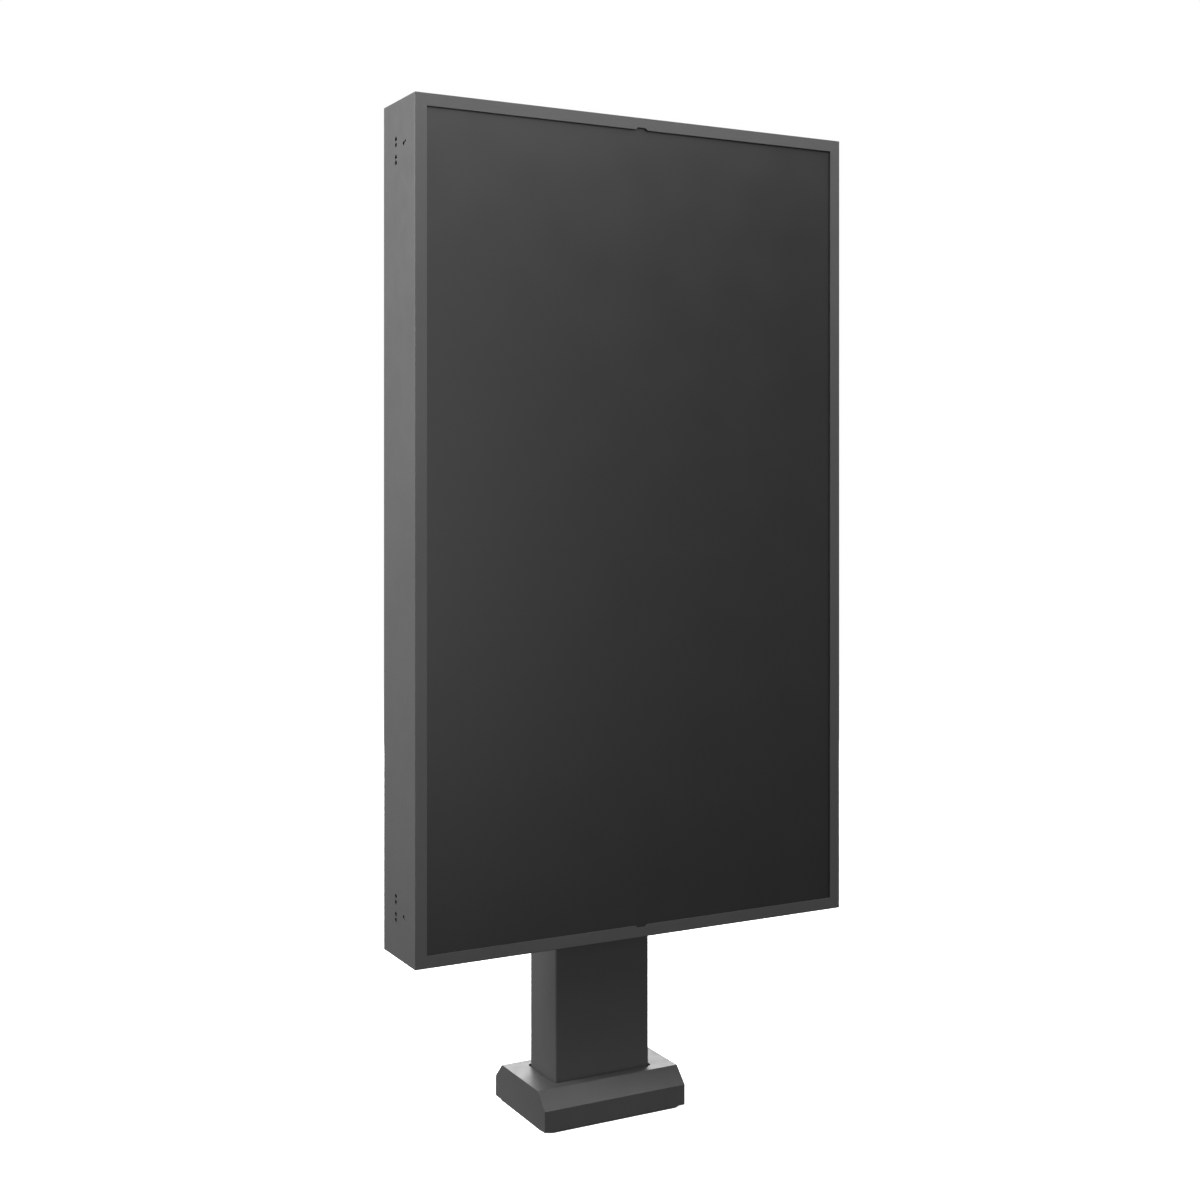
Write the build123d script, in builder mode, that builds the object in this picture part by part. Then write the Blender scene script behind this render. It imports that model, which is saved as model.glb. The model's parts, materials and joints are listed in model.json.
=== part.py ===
"""Touchscreen kiosk: a portrait display housing carried on the front of a floor column.

Millimetres. +Z is up, the screen faces -Y and +X is on the right of someone reading it.
The origin is on the floor, at the centre of the base plate's underside.
"""
import os
from math import atan2, degrees, hypot, sqrt

from build123d import *

os.makedirs("parts", exist_ok=True)

# ------------------------------------------------------------------ driving dimensions
# Housing
enclosure_width = 771.0
enclosure_height = 1300.0
enclosure_depth = 128.0
enclosure_lift = 320.0          # floor to the underside of the housing
door_sheet = 2.0
door_bend_radius = 0.8
lip_width = 19.0                # front border left around the screen
notch_width = 21.0              # small pry notch, centre of the top and bottom lip
notch_depth = 3.5
notch_side_angle = 45.0

# Column, mount plate and base
column_width = 175.0
column_depth = 94.0
column_wall = 4.0
column_corner = 3.0
column_above_plate = 80.0       # how far the column rises past the mount plate
column_inner_corner = 1.0
mount_plate_sheet = 3.0
mount_plate_width = 300.0
mount_plate_height = 500.0
mount_plate_flange = 20.0
mount_plate_bend_radius = 2.0
mount_bolt_inset = 20.0         # bolt centre to plate side
base_plate_thickness = 12.0
base_plate_corner = 18.0
base_plate_inset = 2.5          # the base plate is this much smaller than its cover all round
base_margin_side = 42.5         # column face to cover side
base_margin_front = 47.0        # column face to cover front
anchor_inset_x = 19.5           # anchor hole centre to plate edge
anchor_inset_y = 21.5
anchor_radius = 7.0
floor_cable_width = 90.0
floor_cable_depth = 45.0
floor_cable_corner = 8.0
plate_edge_chamfer = 1.0
cover_sheet = 2.0
cover_floor_gap = 3.5
cover_height = 59.0
cover_chamfer = 25.5
cover_bend_radius = 2.5
cover_column_gap = 4.0

# Rear pan, which the door closes over
pan_sheet = 2.0
pan_rim_edge_radius = 1.2       # outer edge of the rim, where it meets the rear sheet
pan_flange = 30.0
pan_clearance = 2.0             # to the door's walls
pan_hinge_clearance = 5.0       # to the door's wall on the hinge side

# Screen stack, front to back
gasket_thickness = 1.0
gasket_setback = 4.0            # gasket edge behind the lip's edge
glass_overlap = 8.0             # glass edge behind the lip's edge
glass_thickness = 4.0
glass_corner = 3.0
glass_edge_chamfer = 0.5
display_border = 14.0           # lip opening to the display's outer edge
display_air_gap = 2.0
bezel_sheet = 1.0
bezel_cover = 11.5              # width of the display's own metal border
cell_thickness = 2.0
diffuser_thickness = 2.0
tray_sheet = 1.5
tray_depth = 17.0
tray_bend_radius = 1.4
display_slip = 0.5              # clearance between the display's nested parts
rail_depth = 15.0
rail_width = 40.0
rail_sheet = 2.0

# Places of the equipment
bay_from_side = 185.5           # housing side to the equipment's centre line
fan_from_top = 170.0
intake_from_bottom = 150.0
crossbar_from_middle = 200.0
cable_below_middle = 100.0
player_below_middle = 20.0
din_below_middle = 290.0
hinge_from_end = 140.0
hatch_above_housing = 110.0     # hatch centre above the housing's underside

# Standard hardware
accessory_hole_radius = 3.7
accessory_hole_spacings = (36.0, 18.0)
accessory_hole_from_front = 77.3
accessory_hole_from_end = 75.0
latch_from_front = 45.5
latch_from_end = 69.0
keyhole_radius = 3.1
keyhole_tail = (8.0, 3.5)       # towards the front, and towards the nearer end
keyhole_tail_width = 3.2
m4_radius = 2.0
m5_radius = 2.5
m6_radius = 3.0
m8_radius = 4.0
screw_heads = {m4_radius: (4.0, 2.2), m5_radius: (4.7, 2.8), m6_radius: (5.5, 3.4)}     # radius and height
hole_slack = 0.1                # added to a screw's radius for its hole
running_clearance = 0.05        # radial, shaft in bore
cut_over = 1.0                  # how far a cut runs past the face it opens

# ------------------------------------------------------------------ derived places
half_width = enclosure_width / 2
rear_y = -(column_depth / 2 + mount_plate_sheet)
front_y = rear_y - enclosure_depth
top_z = enclosure_lift + enclosure_height
mid_z = enclosure_lift + enclosure_height / 2
inner_half_width = half_width - door_sheet
inner_bottom_z = enclosure_lift + door_sheet
inner_top_z = top_z - door_sheet
opening_width = enclosure_width - 2 * lip_width
opening_height = enclosure_height - 2 * lip_width

lip_back = front_y + door_sheet
glass_front = lip_back + gasket_thickness
glass_back = glass_front + glass_thickness
bezel_front = glass_back + display_air_gap
cell_front = bezel_front + bezel_sheet
cell_back = cell_front + cell_thickness
diffuser_back = cell_back + diffuser_thickness
tray_back = diffuser_back + tray_depth
rail_back = tray_back + rail_depth

glass_width = opening_width + 2 * glass_overlap
glass_height = opening_height + 2 * glass_overlap
display_width = opening_width - 2 * display_border
display_height = opening_height - 2 * display_border

pan_left = -(inner_half_width - pan_clearance)
pan_right = inner_half_width - pan_hinge_clearance
pan_bottom = inner_bottom_z + pan_clearance
pan_top = inner_top_z - pan_clearance
pan_inner_y = rear_y - pan_sheet
pan_front_y = rear_y - pan_flange

column_top = mid_z + mount_plate_height / 2 + column_above_plate
cover_width = column_width + 2 * base_margin_side
cover_depth = column_depth + 2 * base_margin_front
cover_top = cover_floor_gap + cover_height
plate_width = cover_width - 2 * base_plate_inset
plate_depth = cover_depth - 2 * base_plate_inset
anchor_x = plate_width / 2 - anchor_inset_x
anchor_y = plate_depth / 2 - anchor_inset_y

bay_x = half_width - bay_from_side
fan_z = top_z - fan_from_top
intake_z = enclosure_lift + intake_from_bottom
crossbar_z = (mid_z - crossbar_from_middle, mid_z + crossbar_from_middle)
mount_bolt_x = mount_plate_width / 2 - mount_bolt_inset
cable_z = mid_z - cable_below_middle
player_z = mid_z - player_below_middle
din_z = mid_z - din_below_middle
ends = (-1, 1)


def brick(x, y, z, mode=Mode.ADD):
    """A box between a low and a high limit on each axis."""
    with Locations((sum(x) / 2, sum(y) / 2, sum(z) / 2)):
        Box(x[1] - x[0], y[1] - y[0], z[1] - z[0], mode=mode)


def rods(axis, points, radius, span, mode=Mode.ADD):
    """Round bars along one axis between span's limits, at points on the other two axes."""
    middle = sum(span) / 2
    for first, second in points:
        place = {
            "X": Location((middle, first, second), (0, 90, 0)),
            "Y": Location((first, middle, second), (90, 0, 0)),
            "Z": Location((first, second, middle)),
        }[axis]
        with Locations(place):
            Cylinder(radius, span[1] - span[0], mode=mode)


def front_plane(y):
    """A sketch plane across the kiosk at y: x to the right, z up, extruding to the front."""
    return Plane.XZ.offset(-y)


def hex_bars(points, flats, span):
    """Hexagons along Y between span's limits, as wide across flats as given."""
    with BuildSketch(front_plane(span[1])) as outline:
        with Locations(*points):
            RegularPolygon(flats / 2, 6, major_radius=False)
    extrude(outline.sketch, amount=span[1] - span[0])


def screws(points, radius, head_y, tip_y):
    """Round-headed screws along Y: heads from head_y away from the tip, shanks to tip_y."""
    head_radius, head_height = screw_heads[radius]
    outward = 1 if head_y > tip_y else -1
    rods("Y", points, radius, sorted((head_y, tip_y)))
    rods("Y", points, head_radius, sorted((head_y, head_y + outward * head_height)))
    top_rims = edges().filter_by(GeomType.CIRCLE).group_by(Axis.Y)[-1 if outward > 0 else 0]
    fillet(top_rims, head_height * 0.4)


# ------------------------------------------------------------------ base
with BuildPart() as base_plate:
    with BuildSketch():
        RectangleRounded(plate_width, plate_depth, base_plate_corner)
    extrude(amount=base_plate_thickness)
    chamfer(base_plate.faces().sort_by(Axis.Z)[-1].edges(), plate_edge_chamfer)
    with GridLocations(2 * anchor_x, 2 * anchor_y, 2, 2):
        Cylinder(anchor_radius, 4 * base_plate_thickness, mode=Mode.SUBTRACT)
    with BuildSketch():
        RectangleRounded(floor_cable_width, floor_cable_depth, floor_cable_corner)
    extrude(amount=base_plate_thickness, mode=Mode.SUBTRACT)
base_plate.part.label = "base_plate"
export_step(base_plate.part, "parts/base_plate.step")

# Four triangular plates welded between the column and the base plate
gusset_thickness = 6.0
gusset_reach = 30.0
gusset_rise = 40.0
with BuildPart() as column_gussets:
    for angle, face in ((0, column_width / 2), (90, column_depth / 2),
                        (180, column_width / 2), (270, column_depth / 2)):
        side_plane = Plane.XZ.rotated((0, 0, angle)).offset(-gusset_thickness / 2)
        with BuildSketch(side_plane):
            with BuildLine():
                Polyline(
                    (face, base_plate_thickness),
                    (face + gusset_reach, base_plate_thickness),
                    (face + gusset_reach, base_plate_thickness + gusset_thickness),
                    (face + gusset_thickness, base_plate_thickness + gusset_rise),
                    (face, base_plate_thickness + gusset_rise),
                    close=True,
                )
            make_face()
        extrude(amount=gusset_thickness)
column_gussets.part.label = "column_gussets"
export_step(column_gussets.part, "parts/column_gussets.step")

# Folded brackets on the base plate that carry the cover's top sheet
rest_sheet = 2.0
rest_length = 20.0
rest_width = 18.0
rest_from_column = 10.0
rest_from_column_face = 17.0
rest_y = column_depth / 2 - rest_from_column_face
rest_top = cover_top - cover_sheet
with BuildPart() as cover_rests:
    for side in ends:
        for end in ends:
            inner_x = column_width / 2 + rest_from_column
            x_span = sorted((side * inner_x, side * (inner_x + rest_width)))
            leg_span = sorted((side * inner_x, side * (inner_x + rest_sheet)))
            y_span = (end * rest_y - rest_length / 2, end * rest_y + rest_length / 2)
            brick(x_span, y_span, (base_plate_thickness, base_plate_thickness + rest_sheet))
            brick(x_span, y_span, (rest_top - rest_sheet, rest_top))
            brick(leg_span, y_span, (base_plate_thickness, rest_top))
cover_rests.part.label = "cover_rests"
export_step(cover_rests.part, "parts/cover_rests.step")


def cover_outline(inset, bottom):
    """The cover's section across Y and Z, moved inwards by inset, with 45 degree shoulders."""
    half = cover_depth / 2 - inset
    top = cover_top - inset
    shoulder = cover_chamfer - inset * (2 - sqrt(2))
    return (
        (-half, bottom),
        (-half, top - shoulder),
        (-half + shoulder, top),
        (half - shoulder, top),
        (half, top - shoulder),
        (half, bottom),
    )


with BuildPart() as base_cover:
    for inset, bottom, radius, mode in (
        (0.0, cover_floor_gap, cover_bend_radius, Mode.ADD),
        (cover_sheet, cover_floor_gap - cut_over, cover_bend_radius - cover_sheet, Mode.SUBTRACT),
    ):
        with BuildSketch(Plane.YZ.offset(-cover_width / 2 + inset)) as section:
            with BuildLine():
                Polyline(*cover_outline(inset, bottom), close=True)
            make_face()
            fillet(section.vertices().group_by(Axis.Z)[1:], radius)
        extrude(amount=cover_width - 2 * inset, mode=mode)
    with BuildSketch(Plane.XY.offset(cover_top + cut_over)):
        RectangleRounded(column_width + 2 * cover_column_gap, column_depth + 2 * cover_column_gap,
                         column_corner + cover_column_gap)
    extrude(amount=-(cover_sheet + 2 * cut_over), mode=Mode.SUBTRACT)
base_cover.part.label = "base_cover"
export_step(base_cover.part, "parts/base_cover.step")

# ------------------------------------------------------------------ column
cable_hole_radius = 22.0
hatch_z = enclosure_lift + hatch_above_housing
hatch_opening_width = 90.0
hatch_opening_height = 160.0
hatch_overlap = 13.0
hatch_corner = 8.0
hatch_opening_corner = 10.0
hatch_sheet = 1.5
hatch_screw_inset = 6.5
hatch_width = hatch_opening_width + 2 * hatch_overlap
hatch_height = hatch_opening_height + 2 * hatch_overlap
hatch_screw_x = hatch_width / 2 - hatch_screw_inset
hatch_screw_rise = hatch_height / 2 - hatch_screw_inset
hatch_screw_points = [(side * hatch_screw_x, hatch_z + end * hatch_screw_rise)
                      for side in ends for end in ends]
column_back = column_depth / 2

with BuildPart() as column:
    with BuildSketch(Plane.XY.offset(base_plate_thickness)):
        RectangleRounded(column_width, column_depth, column_corner)
        RectangleRounded(column_width - 2 * column_wall, column_depth - 2 * column_wall,
                         column_inner_corner, mode=Mode.SUBTRACT)
    extrude(amount=column_top - base_plate_thickness)
    with BuildSketch(front_plane(column_back + cut_over)):
        with Locations((0, hatch_z)):
            RectangleRounded(hatch_opening_width, hatch_opening_height, hatch_opening_corner)
    extrude(amount=column_wall + 2 * cut_over, mode=Mode.SUBTRACT)
    rods("Y", hatch_screw_points, m4_radius, (column_back - column_wall - cut_over, column_back + cut_over),
         mode=Mode.SUBTRACT)
    rods("Y", [(0, cable_z)], cable_hole_radius,
         (-column_back - cut_over, -column_back + column_wall + cut_over), mode=Mode.SUBTRACT)
column.part.label = "column"
export_step(column.part, "parts/column.step")

cap_thickness = 3.0
cap_plug_depth = 14.0
cap_plug_wall = 3.0
cap_slip = 0.3
with BuildPart() as column_cap:
    with BuildSketch(Plane.XY.offset(column_top)):
        RectangleRounded(column_width, column_depth, column_corner)
    extrude(amount=cap_thickness)
    chamfer(column_cap.faces().sort_by(Axis.Z)[-1].edges(), plate_edge_chamfer)
    plug_width = column_width - 2 * (column_wall + cap_slip)
    plug_depth = column_depth - 2 * (column_wall + cap_slip)
    with BuildSketch(Plane.XY.offset(column_top)):
        Rectangle(plug_width, plug_depth)
        Rectangle(plug_width - 2 * cap_plug_wall, plug_depth - 2 * cap_plug_wall, mode=Mode.SUBTRACT)
    extrude(amount=-cap_plug_depth)
column_cap.part.label = "column_cap"
export_step(column_cap.part, "parts/column_cap.step")

with BuildPart() as column_hatch:
    with BuildSketch(front_plane(column_back + hatch_sheet)):
        with Locations((0, hatch_z)):
            RectangleRounded(hatch_width, hatch_height, hatch_corner)
    extrude(amount=hatch_sheet)
    rods("Y", hatch_screw_points, m4_radius + hole_slack, (column_back, column_back + hatch_sheet),
         mode=Mode.SUBTRACT)
column_hatch.part.label = "column_hatch"
export_step(column_hatch.part, "parts/column_hatch.step")

with BuildPart() as hatch_screws:
    screws(hatch_screw_points, m4_radius, column_back + hatch_sheet, column_back - column_wall)
hatch_screws.part.label = "hatch_screws"
export_step(hatch_screws.part, "parts/hatch_screws.step")

# ------------------------------------------------------------------ mount plate and rear pan
mount_bolt_points = [(side * mount_bolt_x, z) for side in ends for z in crossbar_z]
with BuildPart() as mount_plate:
    half_plate = mount_plate_width / 2
    z_span = (mid_z - mount_plate_height / 2, mid_z + mount_plate_height / 2)
    brick((-half_plate, half_plate), (rear_y, rear_y + mount_plate_sheet), z_span)
    for side in ends:
        flange_x = sorted((side * half_plate, side * (half_plate - mount_plate_sheet)))
        brick(flange_x, (rear_y, rear_y + mount_plate_flange), z_span)
    fillet(mount_plate.edges().filter_by(Axis.Z).group_by(Axis.Y)[0], mount_plate_bend_radius)
    rods("Y", mount_bolt_points, m8_radius + hole_slack, (rear_y, rear_y + mount_plate_sheet),
         mode=Mode.SUBTRACT)
    rods("Y", [(0, cable_z)], cable_hole_radius, (rear_y, rear_y + mount_plate_sheet),
         mode=Mode.SUBTRACT)
mount_plate.part.label = "mount_plate"
export_step(mount_plate.part, "parts/mount_plate.step")

fan_size = 120.0
fan_depth = 25.0
fan_rim = 2.5                   # wall left around the bore
fan_hole_inset = 7.5
fan_bore_radius = fan_size / 2 - fan_rim
fan_hole_pitch = fan_size - 2 * fan_hole_inset
fan_centres = [(side * bay_x, fan_z) for side in ends]
fan_screw_points = [
    (x + right * fan_hole_pitch / 2, z + up * fan_hole_pitch / 2)
    for x, z in fan_centres for right in ends for up in ends
]
intake_slot_length = 110.0
intake_slot_width = 6.0
intake_slot_pitch = 12.0
intake_slot_count = 8
intake_centres = [(side * bay_x, intake_z) for side in ends]

hinge_length = 80.0
hinge_leaf = 2.0
hinge_leaf_width = 40.0
knuckle_radius = 5.5
hinge_pin_radius = 3.0
knuckle_gap = 0.5
knuckle_clearance = 1.0         # knuckle to the pan, and leaf to knuckle
knuckle_third = hinge_length / 3
hinge_x = inner_half_width - knuckle_radius
hinge_y = rear_y + knuckle_clearance + knuckle_radius
hinge_heights = (enclosure_lift + hinge_from_end, mid_z, top_z - hinge_from_end)
hinge_screw_points = [
    (hinge_x - knuckle_radius - hinge_leaf_width / 2, z + end * hinge_length / 3)
    for z in hinge_heights for end in ends
]

# The rear pan is a flat sheet welded into a rim that is folded from one strip
pan_sheet_x = (pan_left + pan_sheet, pan_right - pan_sheet)
pan_sheet_z = (pan_bottom + pan_sheet, pan_top - pan_sheet)
with BuildPart() as pan_rim:
    brick((pan_left, pan_right), (pan_front_y, rear_y), (pan_bottom, pan_top))
    fillet(pan_rim.edges().group_by(Axis.Y)[-1], pan_rim_edge_radius)
    brick(pan_sheet_x, (pan_front_y - cut_over, rear_y + cut_over), pan_sheet_z, mode=Mode.SUBTRACT)
pan_rim.part.label = "pan_rim"
export_step(pan_rim.part, "parts/pan_rim.step")

with BuildPart() as rear_pan:
    brick(pan_sheet_x, (pan_inner_y, rear_y), pan_sheet_z)
    wall = (pan_inner_y, rear_y)
    rods("Y", fan_centres, fan_bore_radius, wall, mode=Mode.SUBTRACT)
    rods("Y", fan_screw_points, m4_radius + hole_slack, wall, mode=Mode.SUBTRACT)
    rods("Y", mount_bolt_points, m8_radius + hole_slack, wall, mode=Mode.SUBTRACT)
    rods("Y", hinge_screw_points, m5_radius, wall, mode=Mode.SUBTRACT)
    rods("Y", [(0, cable_z)], cable_hole_radius, wall, mode=Mode.SUBTRACT)
    with BuildSketch(front_plane(rear_y)):
        with Locations(*intake_centres):
            with GridLocations(0, intake_slot_pitch, 1, intake_slot_count):
                SlotOverall(intake_slot_length, intake_slot_width)
    extrude(amount=pan_sheet, mode=Mode.SUBTRACT)
rear_pan.part.label = "rear_pan"
export_step(rear_pan.part, "parts/rear_pan.step")

crossbar_height = 50.0
crossbar_depth = 14.0
crossbar_sheet = 2.0
crossbar_end_gap = 20.0
with BuildPart() as rear_crossbars:
    half_bar = inner_half_width - pan_hinge_clearance - crossbar_end_gap
    for z in crossbar_z:
        z_span = (z - crossbar_height / 2, z + crossbar_height / 2)
        brick((-half_bar, half_bar), (pan_inner_y - crossbar_sheet, pan_inner_y), z_span)
        for end in z_span:
            inward = crossbar_sheet if end < z else -crossbar_sheet
            brick((-half_bar, half_bar), (pan_inner_y - crossbar_depth, pan_inner_y),
                  sorted((end, end + inward)))
    rods("Y", mount_bolt_points, m8_radius + hole_slack, (pan_inner_y - crossbar_sheet, pan_inner_y),
         mode=Mode.SUBTRACT)
rear_crossbars.part.label = "rear_crossbars"
export_step(rear_crossbars.part, "parts/rear_crossbars.step")

washer_thickness = 1.6
washer_radius = 8.0
m8_head_height = 5.3
m8_nut_height = 6.5
m8_flats = 13.0
bolt_tip = 2.0                  # past the nut
washer_y = rear_y + mount_plate_sheet
head_y = washer_y + washer_thickness
nut_y = pan_inner_y - crossbar_sheet
with BuildPart() as mount_washers:
    rods("Y", mount_bolt_points, washer_radius, (washer_y, head_y))
    rods("Y", mount_bolt_points, m8_radius + hole_slack, (washer_y, head_y), mode=Mode.SUBTRACT)
mount_washers.part.label = "mount_washers"
export_step(mount_washers.part, "parts/mount_washers.step")

with BuildPart() as mount_bolts:
    hex_bars(mount_bolt_points, m8_flats, (head_y, head_y + m8_head_height))
    rods("Y", mount_bolt_points, m8_radius, (nut_y - m8_nut_height - bolt_tip, head_y))
mount_bolts.part.label = "mount_bolts"
export_step(mount_bolts.part, "parts/mount_bolts.step")

with BuildPart() as mount_nuts:
    hex_bars(mount_bolt_points, m8_flats, (nut_y - m8_nut_height, nut_y))
    rods("Y", mount_bolt_points, m8_radius, (nut_y - m8_nut_height, nut_y), mode=Mode.SUBTRACT)
mount_nuts.part.label = "mount_nuts"
export_step(mount_nuts.part, "parts/mount_nuts.step")

grommet_lip = 4.0
grommet_lip_thickness = 3.0
grommet_wall = 6.0
with BuildPart() as cable_grommet:
    cable_point = [(0, cable_z)]
    tube_ends = (pan_inner_y, -column_back + column_wall)
    outer_ends = (tube_ends[0] - grommet_lip_thickness, tube_ends[1] + grommet_lip_thickness)
    rods("Y", cable_point, cable_hole_radius, tube_ends)
    rods("Y", cable_point, cable_hole_radius + grommet_lip, (outer_ends[0], tube_ends[0]))
    rods("Y", cable_point, cable_hole_radius + grommet_lip, (tube_ends[1], outer_ends[1]))
    rods("Y", cable_point, cable_hole_radius - grommet_wall, outer_ends, mode=Mode.SUBTRACT)
cable_grommet.part.label = "cable_grommet"
export_step(cable_grommet.part, "parts/cable_grommet.step")

# ------------------------------------------------------------------ front door
accessory_y = front_y + accessory_hole_from_front
accessory_points = [
    (accessory_y, middle + end * spacing / 2)
    for middle in (enclosure_lift + accessory_hole_from_end, top_z - accessory_hole_from_end)
    for spacing in accessory_hole_spacings for end in ends
]
latch_y = front_y + latch_from_front
latch_heights = {"lower": enclosure_lift + latch_from_end, "upper": top_z - latch_from_end}
latch_ends = {"lower": -1, "upper": 1}

# Weld studs on the back of the lip, halfway between the glass and the walls
stud_length = 12.0
stud_x = (glass_width / 2 + inner_half_width) / 2
stud_rise = (glass_height / 2 + enclosure_height / 2 - door_sheet) / 2
side_stud_pitch = glass_height / 4.5
end_stud_pitch = glass_width / 2
side_studs = [(side * stud_x, mid_z + step * side_stud_pitch)
              for side in ends for step in (-1.5, -0.5, 0.5, 1.5)]
end_studs = [(side * end_stud_pitch / 2, mid_z + end * stud_rise) for end in ends for side in ends]
stud_points = side_studs + end_studs

# The door is a flat front frame welded onto walls that are folded from one strip
with BuildPart() as front_door:
    brick((-half_width, half_width), (front_y, lip_back), (enclosure_lift, top_z))
    fillet(front_door.edges().group_by(Axis.Y)[0] + front_door.edges().filter_by(Axis.Y), door_bend_radius)
    with BuildSketch(front_plane(lip_back + cut_over)):
        with Locations((0, mid_z)):
            Rectangle(opening_width, opening_height)
        notch_rise = opening_height / 2 + notch_depth / 2
        with Locations(Location((0, mid_z + notch_rise)), Location((0, mid_z - notch_rise), 180)):
            Trapezoid(notch_width, notch_depth, notch_side_angle)
    extrude(amount=door_sheet + 2 * cut_over, mode=Mode.SUBTRACT)
    rods("Y", stud_points, m4_radius, (lip_back, lip_back + stud_length))
front_door.part.label = "front_door"
export_step(front_door.part, "parts/front_door.step")

with BuildPart() as door_walls:
    brick((-half_width, half_width), (lip_back, rear_y), (enclosure_lift, top_z))
    fillet(door_walls.edges().filter_by(Axis.Y), door_bend_radius)
    brick((-inner_half_width, inner_half_width), (lip_back - cut_over, rear_y + cut_over),
          (inner_bottom_z, inner_top_z), mode=Mode.SUBTRACT)
    for side in ends:
        wall = sorted((side * (inner_half_width - cut_over), side * (half_width + cut_over)))
        rods("X", accessory_points, accessory_hole_radius, wall, mode=Mode.SUBTRACT)
    tail_angle = degrees(atan2(keyhole_tail[1], -keyhole_tail[0]))
    with BuildSketch(Plane.YZ.offset(-half_width - cut_over)):
        for end_name, z in latch_heights.items():
            with Locations((latch_y, z)):
                Circle(keyhole_radius)
            tail_middle = (latch_y - keyhole_tail[0] / 2, z + latch_ends[end_name] * keyhole_tail[1] / 2)
            with Locations(Location(tail_middle, latch_ends[end_name] * tail_angle)):
                SlotCenterToCenter(hypot(*keyhole_tail), keyhole_tail_width)
    extrude(amount=door_sheet + 2 * cut_over, mode=Mode.SUBTRACT)
door_walls.part.label = "door_walls"
export_step(door_walls.part, "parts/door_walls.step")

with BuildPart() as glass_gasket:
    with BuildSketch(front_plane(glass_front)):
        with Locations((0, mid_z)):
            Rectangle(glass_width, glass_height)
            Rectangle(opening_width + 2 * gasket_setback, opening_height + 2 * gasket_setback,
                      mode=Mode.SUBTRACT)
    extrude(amount=gasket_thickness)
glass_gasket.part.label = "glass_gasket"
export_step(glass_gasket.part, "parts/glass_gasket.step")

with BuildPart() as touch_glass:
    with BuildSketch(front_plane(glass_back)):
        with Locations((0, mid_z)):
            RectangleRounded(glass_width, glass_height, glass_corner)
    extrude(amount=glass_thickness)
    chamfer(touch_glass.faces().sort_by(Axis.Y)[0].edges(), glass_edge_chamfer)
touch_glass.part.label = "touch_glass"
export_step(touch_glass.part, "parts/touch_glass.step")

clip_sheet = 1.5
clip_width = 20.0
clip_bite = 6.0
clip_edge = 3.5
clip_span = (glass_back, glass_back + clip_sheet)
with BuildPart() as glass_clips:
    for x, z in side_studs:
        side = 1 if x > 0 else -1
        brick(sorted((side * (glass_width / 2 - clip_bite), x + side * clip_edge)), clip_span,
              (z - clip_width / 2, z + clip_width / 2))
    for x, z in end_studs:
        end = 1 if z > mid_z else -1
        brick((x - clip_width / 2, x + clip_width / 2), clip_span,
              sorted((mid_z + end * (glass_height / 2 - clip_bite), z + end * clip_edge)))
    rods("Y", stud_points, m4_radius + hole_slack, clip_span, mode=Mode.SUBTRACT)
glass_clips.part.label = "glass_clips"
export_step(glass_clips.part, "parts/glass_clips.step")

clip_nut_height = 3.2
clip_nut_flats = 7.0
with BuildPart() as clip_nuts:
    nut_span = (clip_span[1], clip_span[1] + clip_nut_height)
    hex_bars(stud_points, clip_nut_flats, nut_span)
    rods("Y", stud_points, m4_radius, nut_span, mode=Mode.SUBTRACT)
clip_nuts.part.label = "clip_nuts"
export_step(clip_nuts.part, "parts/clip_nuts.step")


def centred(width, height):
    """The x and z limits of a rectangle on the screen's centre."""
    return (-width / 2, width / 2), (mid_z - height / 2, mid_z + height / 2)


def slab(width, height, y_span, mode=Mode.ADD):
    """A flat block on the screen's centre."""
    x_span, z_span = centred(width, height)
    brick(x_span, y_span, z_span, mode=mode)


skirt_width = display_width - 2 * bezel_sheet
skirt_height = display_height - 2 * bezel_sheet
with BuildPart() as display_bezel:
    slab(display_width, display_height, (bezel_front, tray_back - tray_sheet))
    slab(skirt_width, skirt_height, (cell_front, tray_back), mode=Mode.SUBTRACT)
    slab(display_width - 2 * bezel_cover, display_height - 2 * bezel_cover, (bezel_front, tray_back),
         mode=Mode.SUBTRACT)
display_bezel.part.label = "display_bezel"
export_step(display_bezel.part, "parts/display_bezel.step")

stack_width = skirt_width - 2 * display_slip
stack_height = skirt_height - 2 * display_slip
with BuildPart() as lcd_cell:
    slab(stack_width, stack_height, (cell_front, cell_back))
lcd_cell.part.label = "lcd_cell"
export_step(lcd_cell.part, "parts/lcd_cell.step")

with BuildPart() as diffuser_plate:
    slab(stack_width, stack_height, (cell_back, diffuser_back))
diffuser_plate.part.label = "diffuser_plate"
export_step(diffuser_plate.part, "parts/diffuser_plate.step")

display_screw_rise = 200.0
display_screw_points = [(side * bay_x, mid_z + end * display_screw_rise) for side in ends for end in ends]
with BuildPart() as backlight_tray:
    slab(stack_width, stack_height, (diffuser_back, tray_back))
    fillet(backlight_tray.edges().group_by(Axis.Y)[-1], tray_bend_radius)
    slab(stack_width - 2 * tray_sheet, stack_height - 2 * tray_sheet,
         (diffuser_back, tray_back - tray_sheet), mode=Mode.SUBTRACT)
    rods("Y", display_screw_points, m6_radius, (tray_back - tray_sheet, tray_back), mode=Mode.SUBTRACT)
backlight_tray.part.label = "backlight_tray"
export_step(backlight_tray.part, "parts/backlight_tray.step")

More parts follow.
